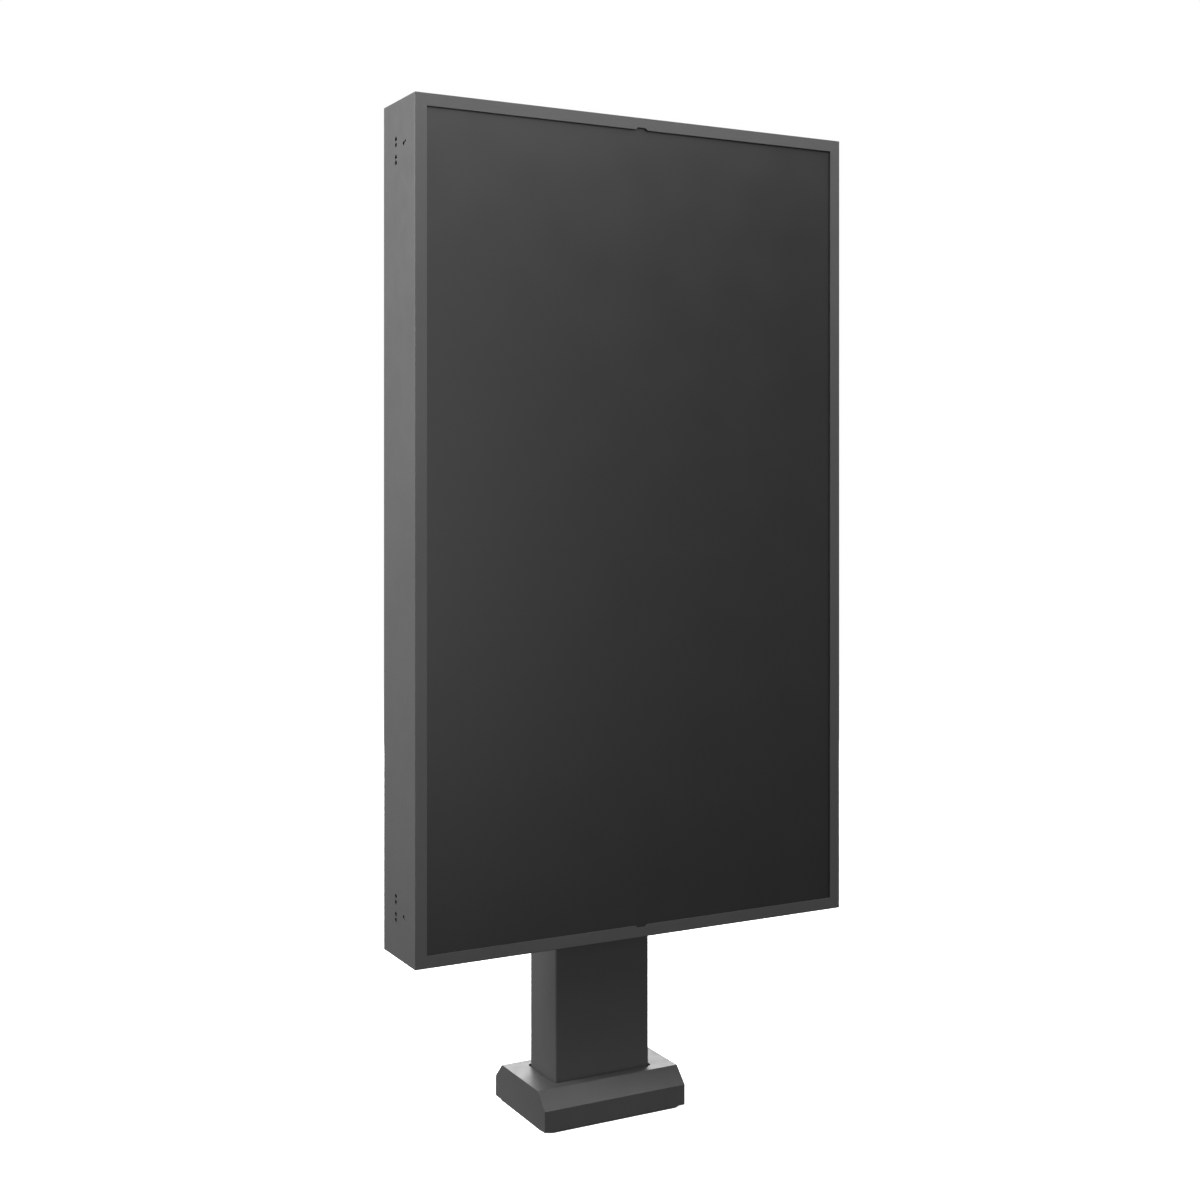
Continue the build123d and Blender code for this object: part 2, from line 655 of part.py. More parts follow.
led_bar_count = 8
led_bar_height = 12.0
led_bar_thickness = 1.6
led_bar_end_gap = 12.0
led_bar_pitch = stack_height / led_bar_count
with BuildPart() as led_bars:
    bar_x = stack_width / 2 - led_bar_end_gap
    bar_y = tray_back - tray_sheet
    for step in range(led_bar_count):
        z = mid_z - stack_height / 2 + (step + 0.5) * led_bar_pitch
        brick((-bar_x, bar_x), (bar_y - led_bar_thickness, bar_y),
              (z - led_bar_height / 2, z + led_bar_height / 2))
led_bars.part.label = "led_bars"
export_step(led_bars.part, "parts/led_bars.step")

bracket_sheet = 3.0
bracket_leg = 40.0
bracket_foot = 30.0
bracket_slip = 0.5
bracket_screw_inset = 12.0
rail_end_gap = 2.0
bracket_half = rail_width / 2 - rail_sheet - bracket_slip
rail_web = (tray_back, tray_back + rail_sheet)
bracket_leg_span = (rail_web[1], rail_web[1] + bracket_sheet)
rail_screw_points = [
    (side * bay_x + across * bracket_half / 2, z)
    for side in ends for across in ends
    for z in (inner_bottom_z + bracket_leg - bracket_screw_inset,
              inner_top_z - bracket_leg + bracket_screw_inset)
]
with BuildPart() as display_rails:
    z_span = (inner_bottom_z + rail_end_gap, inner_top_z - rail_end_gap)
    for side in ends:
        x_span = (side * bay_x - rail_width / 2, side * bay_x + rail_width / 2)
        brick(x_span, (tray_back, rail_back), z_span)
        brick((x_span[0] + rail_sheet, x_span[1] - rail_sheet), (rail_web[1], rail_back), z_span,
              mode=Mode.SUBTRACT)
    rods("Y", rail_screw_points, m5_radius, rail_web, mode=Mode.SUBTRACT)
    rods("Y", display_screw_points, m6_radius + hole_slack, rail_web, mode=Mode.SUBTRACT)
display_rails.part.label = "display_rails"
export_step(display_rails.part, "parts/display_rails.step")

with BuildPart() as rail_brackets:
    for side in ends:
        x_span = (side * bay_x - bracket_half, side * bay_x + bracket_half)
        for wall_z, inward in ((inner_bottom_z, 1), (inner_top_z, -1)):
            brick(x_span, bracket_leg_span, sorted((wall_z, wall_z + inward * bracket_leg)))
            brick(x_span, (rail_web[1], rail_web[1] + bracket_foot),
                  sorted((wall_z, wall_z + inward * bracket_sheet)))
    rods("Y", rail_screw_points, m5_radius + hole_slack, bracket_leg_span, mode=Mode.SUBTRACT)
rail_brackets.part.label = "rail_brackets"
export_step(rail_brackets.part, "parts/rail_brackets.step")

with BuildPart() as rail_screws:
    screws(rail_screw_points, m5_radius, bracket_leg_span[1], tray_back)
rail_screws.part.label = "rail_screws"
export_step(rail_screws.part, "parts/rail_screws.step")

with BuildPart() as display_screws:
    screws(display_screw_points, m6_radius, rail_web[1], tray_back - tray_sheet)
display_screws.part.label = "display_screws"
export_step(display_screws.part, "parts/display_screws.step")

# ------------------------------------------------------------------ boards on the display's back
board_thickness = 1.6
board_corner = 3.0
standoff_height = 6.0
standoff_radius = 3.0
standoff_inset = 6.0
board_span = (tray_back + standoff_height, tray_back + standoff_height + board_thickness)
driver_centre = (0.0, mid_z + 150.0)
driver_size = (180.0, 120.0)
controller_centre = (0.0, mid_z - 250.0)
controller_size = (90.0, 60.0)


def corner_points(centre, size, inset):
    """The four corners of a rectangle, moved inwards."""
    return [(centre[0] + right * (size[0] / 2 - inset), centre[1] + up * (size[1] / 2 - inset))
            for right in ends for up in ends]


def board(centre, size, thick_parts):
    """A circuit board with blocks standing on its rear face, each (x, z, width, height, depth)."""
    with BuildSketch(front_plane(board_span[1])) as outline:
        with Locations(centre):
            RectangleRounded(size[0], size[1], board_corner)
    extrude(outline.sketch, amount=board_thickness)
    for x, z, width, height, depth in thick_parts:
        brick((centre[0] + x - width / 2, centre[0] + x + width / 2), (board_span[1], board_span[1] + depth),
              (centre[1] + z - height / 2, centre[1] + z + height / 2))


with BuildPart() as driver_board:
    board(driver_centre, driver_size, (
        (-20.0, 10.0, 34.0, 34.0, 9.0),     # heat sink on the image processor
        (40.0, 20.0, 18.0, 18.0, 2.0),      # memory
        (0.0, -49.0, 60.0, 9.0, 6.0),       # panel connector
        (-66.0, -48.0, 24.0, 10.0, 7.0),    # power connector
        (60.0, -48.0, 30.0, 10.0, 7.0),     # picture input
    ))
driver_board.part.label = "driver_board"
export_step(driver_board.part, "parts/driver_board.step")

with BuildPart() as touch_controller:
    board(controller_centre, controller_size, (
        (0.0, 4.0, 14.0, 14.0, 1.6),        # controller
        (0.0, -23.0, 40.0, 7.0, 5.0),       # sensor connector
        (28.0, 14.0, 12.0, 9.0, 4.0),       # data socket
    ))
touch_controller.part.label = "touch_controller"
export_step(touch_controller.part, "parts/touch_controller.step")

with BuildPart() as board_standoffs:
    standoff_points = (corner_points(driver_centre, driver_size, standoff_inset)
                       + corner_points(controller_centre, controller_size, standoff_inset))
    rods("Y", standoff_points, standoff_radius, (tray_back, board_span[0]))
board_standoffs.part.label = "board_standoffs"
export_step(board_standoffs.part, "parts/board_standoffs.step")

# ------------------------------------------------------------------ latches
spindle_radius = 5.0
latch_body_radius = 9.0
latch_body_length = 7.0
latch_wall_gap = 0.3
arm_thickness = 3.0
arm_gap = 1.0
arm_half_width = 5.0
arm_tail = 1.0                  # past the spindle, away from the arm's end
arm_end_radius = 4.0
arm_reach = 35.0
latch_nut_radius = 6.0
latch_nut_height = 3.5
drive_socket = 5.0
drive_depth = 3.0
latch_wall_x = -inner_half_width
body_end_x = latch_wall_x + latch_body_length
arm_x = (body_end_x + arm_gap, body_end_x + arm_gap + arm_thickness)
with BuildPart() as latch_bodies:
    latch_points = [(latch_y, z) for z in latch_heights.values()]
    rods("X", latch_points, latch_body_radius, (latch_wall_x, body_end_x))
    rods("X", latch_points, spindle_radius + running_clearance, (latch_wall_x, body_end_x),
         mode=Mode.SUBTRACT)
latch_bodies.part.label = "latch_bodies"
export_step(latch_bodies.part, "parts/latch_bodies.step")

# Each cam is stored unlocked, with its arm pointing to the rear
for end_name, z in latch_heights.items():
    with BuildPart() as latch_cam:
        spindle_start = latch_wall_x + latch_wall_gap
        rods("X", [(latch_y, z)], spindle_radius, (spindle_start, arm_x[1]))
        brick(arm_x, (latch_y - arm_half_width - arm_tail, latch_y + arm_reach),
              (z - arm_half_width, z + arm_half_width))
        fillet(latch_cam.edges().filter_by(Axis.X).group_by(Axis.Y)[-1], arm_end_radius)
        rods("X", [(latch_y, z)], latch_nut_radius, (arm_x[1], arm_x[1] + latch_nut_height))
        brick((spindle_start, spindle_start + drive_depth),
              (latch_y - drive_socket / 2, latch_y + drive_socket / 2),
              (z - drive_socket / 2, z + drive_socket / 2), mode=Mode.SUBTRACT)
    latch_cam.part.label = f"latch_cam_{end_name}"
    export_step(latch_cam.part, f"parts/latch_cam_{end_name}.step")

# A keeper reaches forward from the pan, and turns in front of the locked arm
keeper_sheet = 2.0
keeper_width = 14.0
keeper_offset = 16.0            # latch centre to the keeper's nearer edge
keeper_arm_gap = 2.5
keeper_tab = 13.5
keeper_x = pan_left + pan_sheet
keeper_front = latch_y - arm_half_width - keeper_arm_gap - keeper_sheet
with BuildPart() as latch_keepers:
    for end_name, z in latch_heights.items():
        end = latch_ends[end_name]
        z_span = sorted((z + end * keeper_offset, z + end * (keeper_offset + keeper_width)))
        brick((keeper_x, keeper_x + keeper_sheet), (keeper_front, pan_inner_y), z_span)
        brick((keeper_x, keeper_x + keeper_tab), (keeper_front, keeper_front + keeper_sheet), z_span)
latch_keepers.part.label = "latch_keepers"
export_step(latch_keepers.part, "parts/latch_keepers.step")

# ------------------------------------------------------------------ hinges
hinge_point = [(hinge_x, hinge_y)]
with BuildPart() as hinge_pan_leaves:
    for z in hinge_heights:
        leaf_y = (rear_y, rear_y + hinge_leaf)
        leaf_end = hinge_x - knuckle_radius - knuckle_clearance
        brick((leaf_end - hinge_leaf_width, leaf_end), leaf_y, (z - hinge_length / 2, z + hinge_length / 2))
        for span in ((z - hinge_length / 2, z - knuckle_third / 2 - knuckle_gap),
                     (z + knuckle_third / 2 + knuckle_gap, z + hinge_length / 2)):
            brick((leaf_end, hinge_x), leaf_y, span)
            rods("Z", hinge_point, knuckle_radius, span)
            rods("Z", hinge_point, hinge_pin_radius, span, mode=Mode.SUBTRACT)
    rods("Y", hinge_screw_points, m5_radius + hole_slack, (rear_y, rear_y + hinge_leaf), mode=Mode.SUBTRACT)
hinge_pan_leaves.part.label = "hinge_pan_leaves"
export_step(hinge_pan_leaves.part, "parts/hinge_pan_leaves.step")

with BuildPart() as hinge_door_leaves:
    leaf_x = (inner_half_width - hinge_leaf, inner_half_width)
    for z in hinge_heights:
        span = (z - knuckle_third / 2, z + knuckle_third / 2)
        brick(leaf_x, (pan_front_y, rear_y - knuckle_gap), (z - hinge_length / 2, z + hinge_length / 2))
        brick(leaf_x, (rear_y - knuckle_gap, hinge_y), span)
        rods("Z", hinge_point, knuckle_radius, span)
        rods("Z", hinge_point, hinge_pin_radius + running_clearance, span, mode=Mode.SUBTRACT)
hinge_door_leaves.part.label = "hinge_door_leaves"
export_step(hinge_door_leaves.part, "parts/hinge_door_leaves.step")

pin_head_height = 2.0
pin_head_radius = 4.5
hinge_screw_grip = 3.0          # past the pan's sheet
with BuildPart() as hinge_pins:
    for z in hinge_heights:
        top = z + hinge_length / 2
        rods("Z", hinge_point, hinge_pin_radius, (z - hinge_length / 2 - pin_head_height, top))
        rods("Z", hinge_point, pin_head_radius, (top, top + pin_head_height))
hinge_pins.part.label = "hinge_pins"
export_step(hinge_pins.part, "parts/hinge_pins.step")

with BuildPart() as hinge_screws:
    screws(hinge_screw_points, m5_radius, rear_y + hinge_leaf, pan_inner_y - hinge_screw_grip)
hinge_screws.part.label = "hinge_screws"
export_step(hinge_screws.part, "parts/hinge_screws.step")

# ------------------------------------------------------------------ fans
fan_corner = 6.0
motor_radius = 20.0
motor_depth = 7.0
strut_depth = 4.0
strut_width = 5.0
rotor_hub_radius = 21.0
rotor_hub_edge = 2.0
rotor_setback = 1.0              # frame's front face to the hub
shaft_end_gap = 1.0
rotor_gap = 1.5
rotor_shaft_radius = 2.0
rotor_shaft_length = 6.0
rotor_tip_gap = 2.0
rotor_tip_radius = fan_bore_radius - rotor_tip_gap
blade_count = 7
blade_thickness = 1.8
blade_chord = 25.0
blade_pitch = 30.0
blade_setback = 2.6             # hub's front face to the blades
blade_overrun = 3.0             # blade blank past the tip and into the hub, before trimming
fan_screw_setback = 5.0          # frame's front face to the screw's tip
fan_y = (pan_inner_y - fan_depth, pan_inner_y)
motor_front = pan_inner_y - motor_depth
rotor_y = (fan_y[0] + rotor_setback, motor_front - rotor_gap)

for fan_name, centre in zip(("left", "right"), fan_centres):
    x, z = centre
    corner_holes = corner_points(centre, (fan_hole_pitch, fan_hole_pitch), 0)
    with BuildPart() as fan_frame:
        with BuildSketch(front_plane(fan_y[1])):
            with Locations(centre):
                RectangleRounded(fan_size, fan_size, fan_corner)
        extrude(amount=fan_depth)
        rods("Y", [centre], fan_bore_radius, fan_y, mode=Mode.SUBTRACT)
        brick((x - fan_bore_radius, x + fan_bore_radius), (fan_y[1] - strut_depth, fan_y[1]),
              (z - strut_width / 2, z + strut_width / 2))
        brick((x - strut_width / 2, x + strut_width / 2), (fan_y[1] - strut_depth, fan_y[1]),
              (z - fan_bore_radius, z + fan_bore_radius))
        rods("Y", [centre], motor_radius, (motor_front, fan_y[1]))
        rods("Y", [centre], rotor_shaft_radius + running_clearance,
             (motor_front, motor_front + rotor_shaft_length), mode=Mode.SUBTRACT)
        rods("Y", corner_holes, m4_radius, fan_y, mode=Mode.SUBTRACT)
    fan_frame.part.label = f"fan_frame_{fan_name}"
    export_step(fan_frame.part, f"parts/fan_frame_{fan_name}.step")

    with BuildPart() as fan_rotor:
        blade_middle = (rotor_hub_radius + rotor_tip_radius) / 2
        blade_length = rotor_tip_radius - rotor_hub_radius + 2 * blade_overrun
        blade_y = (rotor_y[0] + blade_setback, rotor_y[1])
        rotor_centre = Location((x, sum(blade_y) / 2, z), (90, 0, 0))
        for step in range(blade_count):
            spoke = rotor_centre * Location((0, 0, 0), (0, 0, step * 360 / blade_count))
            with Locations(spoke * Location((blade_middle, 0, 0), (blade_pitch, 0, 0))):
                Box(blade_length, blade_chord, blade_thickness)
        with Locations(rotor_centre):
            Cylinder(rotor_tip_radius, blade_y[1] - blade_y[0], mode=Mode.INTERSECT)
        rods("Y", [centre], rotor_hub_radius, rotor_y)
        fillet(fan_rotor.edges().filter_by(GeomType.CIRCLE).group_by(Axis.Y)[0], rotor_hub_edge)
        shaft_span = (rotor_y[1], motor_front + rotor_shaft_length - shaft_end_gap)
        rods("Y", [centre], rotor_shaft_radius, shaft_span)
    fan_rotor.part.label = f"fan_rotor_{fan_name}"
    export_step(fan_rotor.part, f"parts/fan_rotor_{fan_name}.step")

guard_sheet = 1.5
guard_ring_width = 2.0
guard_ring_pitch = 12.0
guard_ring_count = 4
guard_ring_overlap = 0.5        # outer ring onto the pan
guard_ring_radii = [fan_bore_radius + guard_ring_overlap - guard_ring_pitch * step
                    for step in range(guard_ring_count)]
guard_spoke_width = 3.0
guard_ear_radius = 6.0
guard_y = rear_y + guard_sheet
with BuildPart() as fan_guards:
    for centre in fan_centres:
        ears = corner_points(centre, (fan_hole_pitch, fan_hole_pitch), 0)
        with BuildSketch(front_plane(guard_y)):
            with Locations(centre):
                for radius in guard_ring_radii:
                    Circle(radius)
                    Circle(radius - guard_ring_width, mode=Mode.SUBTRACT)
                for angle in (45, 135):
                    with Locations(Location((0, 0), angle)):
                        Rectangle(fan_hole_pitch * sqrt(2), guard_spoke_width)
                Circle(guard_ring_radii[-1] / 2)
            with Locations(*ears):
                Circle(guard_ear_radius)
                Circle(m4_radius + hole_slack, mode=Mode.SUBTRACT)
        extrude(amount=guard_sheet)
fan_guards.part.label = "fan_guards"
export_step(fan_guards.part, "parts/fan_guards.step")

with BuildPart() as fan_screws:
    screws(fan_screw_points, m4_radius, guard_y, fan_y[0] + fan_screw_setback)
fan_screws.part.label = "fan_screws"
export_step(fan_screws.part, "parts/fan_screws.step")

# ------------------------------------------------------------------ intake filters
filter_size = (134.0, 112.0)
filter_thickness = 8.0
filter_frame_wall = 2.0
filter_lip = 6.0
filter_back = pan_inner_y - filter_thickness
with BuildPart() as intake_filters:
    for x, z in intake_centres:
        brick((x - filter_size[0] / 2, x + filter_size[0] / 2), (filter_back, pan_inner_y),
              (z - filter_size[1] / 2, z + filter_size[1] / 2))
intake_filters.part.label = "intake_filters"
export_step(intake_filters.part, "parts/intake_filters.step")

with BuildPart() as filter_frames:
    for x, z in intake_centres:
        for grow, y_span, mode in (
            (filter_frame_wall, (filter_back - filter_frame_wall, pan_inner_y), Mode.ADD),
            (0.0, (filter_back, pan_inner_y), Mode.SUBTRACT),
            (-filter_lip, (filter_back - filter_frame_wall, pan_inner_y), Mode.SUBTRACT),
        ):
            half_x = filter_size[0] / 2 + grow
            half_z = filter_size[1] / 2 + grow
            brick((x - half_x, x + half_x), y_span, (z - half_z, z + half_z), mode=mode)
filter_frames.part.label = "filter_frames"
export_step(filter_frames.part, "parts/filter_frames.step")

# ------------------------------------------------------------------ media player
player_size = (170.0, 170.0)
player_depth = 38.0
player_sheet = 1.5
player_base_sheet = 2.0
player_base_margin = 12.0
player_board_gap = 8.0
player_board_inset = 5.5
player_sink_size = (60.0, 60.0)
player_sink_rise = 20.0         # heat sink centre above the player's
player_sink_height = 12.0
player_case_radius = 1.4
player_base_corner = 4.0
player_slot_size = (80.0, 4.0)
player_slot_pitch = 12.0
player_slot_count = 9
player_centre = (-bay_x, player_z)
player_back = pan_inner_y - player_base_sheet
player_front = player_back - player_depth
player_x = (player_centre[0] - player_size[0] / 2, player_centre[0] + player_size[0] / 2)
player_z_span = (player_z - player_size[1] / 2, player_z + player_size[1] / 2)
button_radius = 5.0
button_gap = 0.3
button_travel = 2.5
button_flange_radius = 6.5
button_flange = 1.5
button_inset = 20.0
button_edge_radius = 0.8
button_point = [(player_x[1] - button_inset, player_z_span[0] + button_inset)]
with BuildPart() as media_player_base:
    slab_x = (player_x[0] - player_base_margin, player_x[1] + player_base_margin)
    brick(slab_x, (player_back, pan_inner_y), player_z_span)
    fillet(media_player_base.edges().filter_by(Axis.Y), player_base_corner)
media_player_base.part.label = "media_player_base"
export_step(media_player_base.part, "parts/media_player_base.step")

with BuildPart() as media_player_case:
    brick(player_x, (player_front, player_back), player_z_span)
    fillet(media_player_case.edges().group_by(Axis.Y)[0], player_case_radius)
    brick((player_x[0] + player_sheet, player_x[1] - player_sheet),
          (player_front + player_sheet, player_back),
          (player_z_span[0] + player_sheet, player_z_span[1] - player_sheet), mode=Mode.SUBTRACT)
    with BuildSketch(front_plane(player_front + player_sheet)):
        with Locations(player_centre):
            with GridLocations(player_slot_pitch, 0, player_slot_count, 1):
                SlotOverall(*player_slot_size, rotation=90)
    extrude(amount=player_sheet, mode=Mode.SUBTRACT)
    rods("Y", button_point, button_radius + button_gap, (player_front, player_front + player_sheet),
         mode=Mode.SUBTRACT)
media_player_case.part.label = "media_player_case"
export_step(media_player_case.part, "parts/media_player_case.step")

with BuildPart() as media_player_board:
    board_y = (player_back - player_board_gap - board_thickness, player_back - player_board_gap)
    brick((player_x[0] + player_board_inset, player_x[1] - player_board_inset), board_y,
          (player_z_span[0] + player_board_inset, player_z_span[1] - player_board_inset))
    sink_z = player_z + player_sink_rise
    brick((player_centre[0] - player_sink_size[0] / 2, player_centre[0] + player_sink_size[0] / 2),
          (board_y[0] - player_sink_height, board_y[0]),
          (sink_z - player_sink_size[1] / 2, sink_z + player_sink_size[1] / 2))
media_player_board.part.label = "media_player_board"
export_step(media_player_board.part, "parts/media_player_board.step")

with BuildPart() as media_player_button:
    flange_front = player_front + player_sheet + button_gap
    rods("Y", button_point, button_radius, (player_front - button_travel, flange_front + button_flange))
    rods("Y", button_point, button_flange_radius, (flange_front, flange_front + button_flange))
    rims = media_player_button.edges().filter_by(GeomType.CIRCLE)
    fillet(rims.group_by(Axis.Y)[0], button_edge_radius)
media_player_button.part.label = "media_player_button"
export_step(media_player_button.part, "parts/media_player_button.step")

# ------------------------------------------------------------------ power supply and mains parts
supply_width = 115.0
supply_height = 215.0
supply_depth = 30.0
supply_sheet = 1.2
supply_x = (bay_x - supply_width / 2, bay_x + supply_width / 2)
supply_z = (player_z - supply_height / 2, player_z + supply_height / 2)
supply_front = pan_inner_y - supply_depth
terminal_ledge = 18.0
supply_slot_size = (34.0, 4.5)
supply_slot_pitch = (9.0, 42.0)
supply_slot_count = (10, 3)
supply_slot_rise = 25.0         # middle of the slots above the supply's
supply_terminal_count = 9
supply_terminal_pitch = 10.0
supply_terminal_width = 8.0
supply_terminal_block = (96.0, 14.0, 16.0)      # width, height and depth
supply_terminal_wall = 4.0      # upper wall left above the terminals
supply_terminal_floor = 7.0     # left behind them
supply_terminal_lift = 1.0
with BuildPart() as power_supply:
    brick(supply_x, (supply_front, pan_inner_y), supply_z)
    brick((supply_x[0] + supply_sheet, supply_x[1] - supply_sheet),
          (supply_front + supply_sheet, pan_inner_y - supply_sheet),
          (supply_z[0] - cut_over, supply_z[1] - supply_sheet), mode=Mode.SUBTRACT)
    brick((supply_x[0] + supply_sheet, supply_x[1] - supply_sheet),
          (supply_front, supply_front + supply_sheet),
          (supply_z[0] - cut_over, supply_z[0] + terminal_ledge), mode=Mode.SUBTRACT)
    with BuildSketch(front_plane(supply_front + supply_sheet)):
        with Locations((bay_x, player_z + supply_slot_rise)):
            with GridLocations(*supply_slot_pitch, *supply_slot_count):
                SlotOverall(*supply_slot_size, rotation=90)
    extrude(amount=supply_sheet, mode=Mode.SUBTRACT)
power_supply.part.label = "power_supply"
export_step(power_supply.part, "parts/power_supply.step")

with BuildPart() as supply_terminals:
    block_width, block_height, block_depth = supply_terminal_block
    terminal_y = (pan_inner_y - supply_sheet - block_depth, pan_inner_y - supply_sheet)
    terminal_z = supply_z[0] + supply_terminal_lift
    brick((bay_x - block_width / 2, bay_x + block_width / 2), terminal_y,
          (terminal_z, terminal_z + block_height))
    for step in range(supply_terminal_count):
        x = bay_x + (step - (supply_terminal_count - 1) / 2) * supply_terminal_pitch
        brick((x - supply_terminal_width / 2, x + supply_terminal_width / 2),
              (terminal_y[0], terminal_y[1] - supply_terminal_floor),
              (terminal_z, terminal_z + block_height - supply_terminal_wall), mode=Mode.SUBTRACT)
supply_terminals.part.label = "supply_terminals"
export_step(supply_terminals.part, "parts/supply_terminals.step")

din_length = 200.0
din_depth = 7.5
din_crown = 12.5
din_half_height = 17.5
din_sheet = 1.0
din_x = (bay_x - din_length / 2, bay_x + din_length / 2)
din_front = pan_inner_y - din_depth
with BuildPart() as din_rail:
    with BuildSketch(Plane.YZ.offset(din_x[0])):
        with BuildLine():
            Polyline(
                (pan_inner_y, din_z + din_crown),
                (din_front + din_sheet, din_z + din_crown),
                (din_front + din_sheet, din_z + din_half_height),
                (din_front, din_z + din_half_height),
                (din_front, din_z + din_crown - din_sheet),
                (pan_inner_y - din_sheet, din_z + din_crown - din_sheet),
                (pan_inner_y - din_sheet, din_z - din_crown + din_sheet),
                (din_front, din_z - din_crown + din_sheet),
                (din_front, din_z - din_half_height),
                (din_front + din_sheet, din_z - din_half_height),
                (din_front + din_sheet, din_z - din_crown),
                (pan_inner_y, din_z - din_crown),
                close=True,
            )
        make_face()
    extrude(amount=din_length)
din_rail.part.label = "din_rail"
export_step(din_rail.part, "parts/din_rail.step")

claw_slip = 0.2
claw_reach = 2.5                # behind the rail's edge, and in over it
claw_wall = 3.0


def rail_claws(x_span):
    """Hooks behind a clip-on module that hold the edges of the rail."""
    claw_back = din_front + din_sheet + claw_reach
    for end in ends:
        outer = din_z + end * (din_half_height + claw_wall)
        brick(x_span, (din_front, claw_back), sorted((din_z + end * (din_half_height + claw_slip), outer)))
        brick(x_span, (din_front + din_sheet + claw_slip, claw_back),
              sorted((din_z + end * (din_half_height - claw_reach), outer)))


breaker_width = 36.0
breaker_half_height = 42.0
breaker_depth = 45.0
breaker_nose = 7.0
breaker_nose_half_height = 22.0
toggle_width = 10.0
toggle_hub_radius = 6.0
toggle_pin_radius = 1.5
toggle_length = 13.0
toggle_thickness = 5.0
toggle_tilt = 35.0
toggle_gap = 0.5
toggle_slot_height = 18.0
breaker_from_rail_end = 30.0
breaker_x = (din_x[0] + breaker_from_rail_end, din_x[0] + breaker_from_rail_end + breaker_width)
breaker_mid_x = sum(breaker_x) / 2
breaker_front = din_front - breaker_depth
nose_front = breaker_front - breaker_nose
toggle_y = nose_front + toggle_hub_radius
with BuildPart() as circuit_breaker:
    brick(breaker_x, (breaker_front, din_front), (din_z - breaker_half_height, din_z + breaker_half_height))
    brick(breaker_x, (nose_front, din_front),
          (din_z - breaker_nose_half_height, din_z + breaker_nose_half_height))
    slot_half = toggle_width / 2 + toggle_gap
    brick((breaker_mid_x - slot_half, breaker_mid_x + slot_half),
          (nose_front, toggle_y + toggle_hub_radius + toggle_gap),
          (din_z - toggle_slot_height / 2, din_z + toggle_slot_height / 2), mode=Mode.SUBTRACT)
    rods("X", [(toggle_y, din_z)], toggle_pin_radius, (breaker_mid_x - slot_half, breaker_mid_x + slot_half))
    rail_claws(breaker_x)
circuit_breaker.part.label = "circuit_breaker"
export_step(circuit_breaker.part, "parts/circuit_breaker.step")

# The toggle is stored switched on, tilted up
with BuildPart() as breaker_toggle:
    toggle_x = (breaker_mid_x - toggle_width / 2, breaker_mid_x + toggle_width / 2)
    rods("X", [(toggle_y, din_z)], toggle_hub_radius, toggle_x)
    with Locations(Location((breaker_mid_x, toggle_y, din_z), (-toggle_tilt, 0, 0))):
        Box(toggle_width, toggle_length, toggle_thickness, align=(Align.CENTER, Align.MAX, Align.CENTER))
    rods("X", [(toggle_y, din_z)], toggle_pin_radius + running_clearance, toggle_x, mode=Mode.SUBTRACT)
breaker_toggle.part.label = "breaker_toggle"
export_step(breaker_toggle.part, "parts/breaker_toggle.step")

terminal_count = 5
terminal_width = 10.0
terminal_pitch = 10.5
terminal_half_height = 25.0
terminal_depth = 38.0
terminal_from_breaker = 12.0
wire_entry_inset = 7.0          # entry's centre to the block's end
wire_entry_wall = 2.0           # each side of the entry
wire_entry_height = 6.0
wire_entry_depth = 12.0
with BuildPart() as terminal_blocks:
    for step in range(terminal_count):
        x = breaker_x[1] + terminal_from_breaker + step * terminal_pitch
        x_span = (x, x + terminal_width)
        brick(x_span, (din_front - terminal_depth, din_front),
              (din_z - terminal_half_height, din_z + terminal_half_height))
        for end in ends:
            entry = din_z + end * (terminal_half_height - wire_entry_inset)
            brick((x + wire_entry_wall, x + terminal_width - wire_entry_wall),
                  (din_front - terminal_depth, din_front - terminal_depth + wire_entry_depth),
                  (entry - wire_entry_height / 2, entry + wire_entry_height / 2), mode=Mode.SUBTRACT)
        rail_claws(x_span)
terminal_blocks.part.label = "terminal_blocks"
export_step(terminal_blocks.part, "parts/terminal_blocks.step")
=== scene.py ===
"""Looks of the touchscreen kiosk: materials, small detail pieces, floor, light and camera. Metres.

+Z is up, the screen faces -Y and +X is on the right of someone reading it.
"""

import json
import math
import random

import bmesh
import bpy
from mathutils import Matrix, Vector


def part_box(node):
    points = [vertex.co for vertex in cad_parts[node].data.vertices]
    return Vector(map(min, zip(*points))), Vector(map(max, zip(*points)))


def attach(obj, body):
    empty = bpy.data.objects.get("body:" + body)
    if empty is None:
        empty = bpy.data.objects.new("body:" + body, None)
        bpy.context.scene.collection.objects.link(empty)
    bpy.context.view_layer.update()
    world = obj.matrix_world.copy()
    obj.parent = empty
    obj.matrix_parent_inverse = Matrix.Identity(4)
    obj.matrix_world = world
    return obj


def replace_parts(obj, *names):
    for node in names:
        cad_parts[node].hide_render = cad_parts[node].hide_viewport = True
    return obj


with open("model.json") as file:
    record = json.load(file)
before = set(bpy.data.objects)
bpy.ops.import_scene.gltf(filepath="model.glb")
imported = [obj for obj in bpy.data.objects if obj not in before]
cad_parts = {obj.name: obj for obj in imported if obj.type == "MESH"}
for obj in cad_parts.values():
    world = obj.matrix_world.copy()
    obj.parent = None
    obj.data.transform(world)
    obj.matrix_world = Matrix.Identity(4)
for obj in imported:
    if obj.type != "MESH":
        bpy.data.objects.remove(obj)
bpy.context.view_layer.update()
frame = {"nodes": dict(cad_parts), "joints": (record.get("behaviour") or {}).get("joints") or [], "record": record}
nodes = frame["nodes"]
joints = {joint["name"]: joint for joint in frame["joints"]}
MM = 0.001


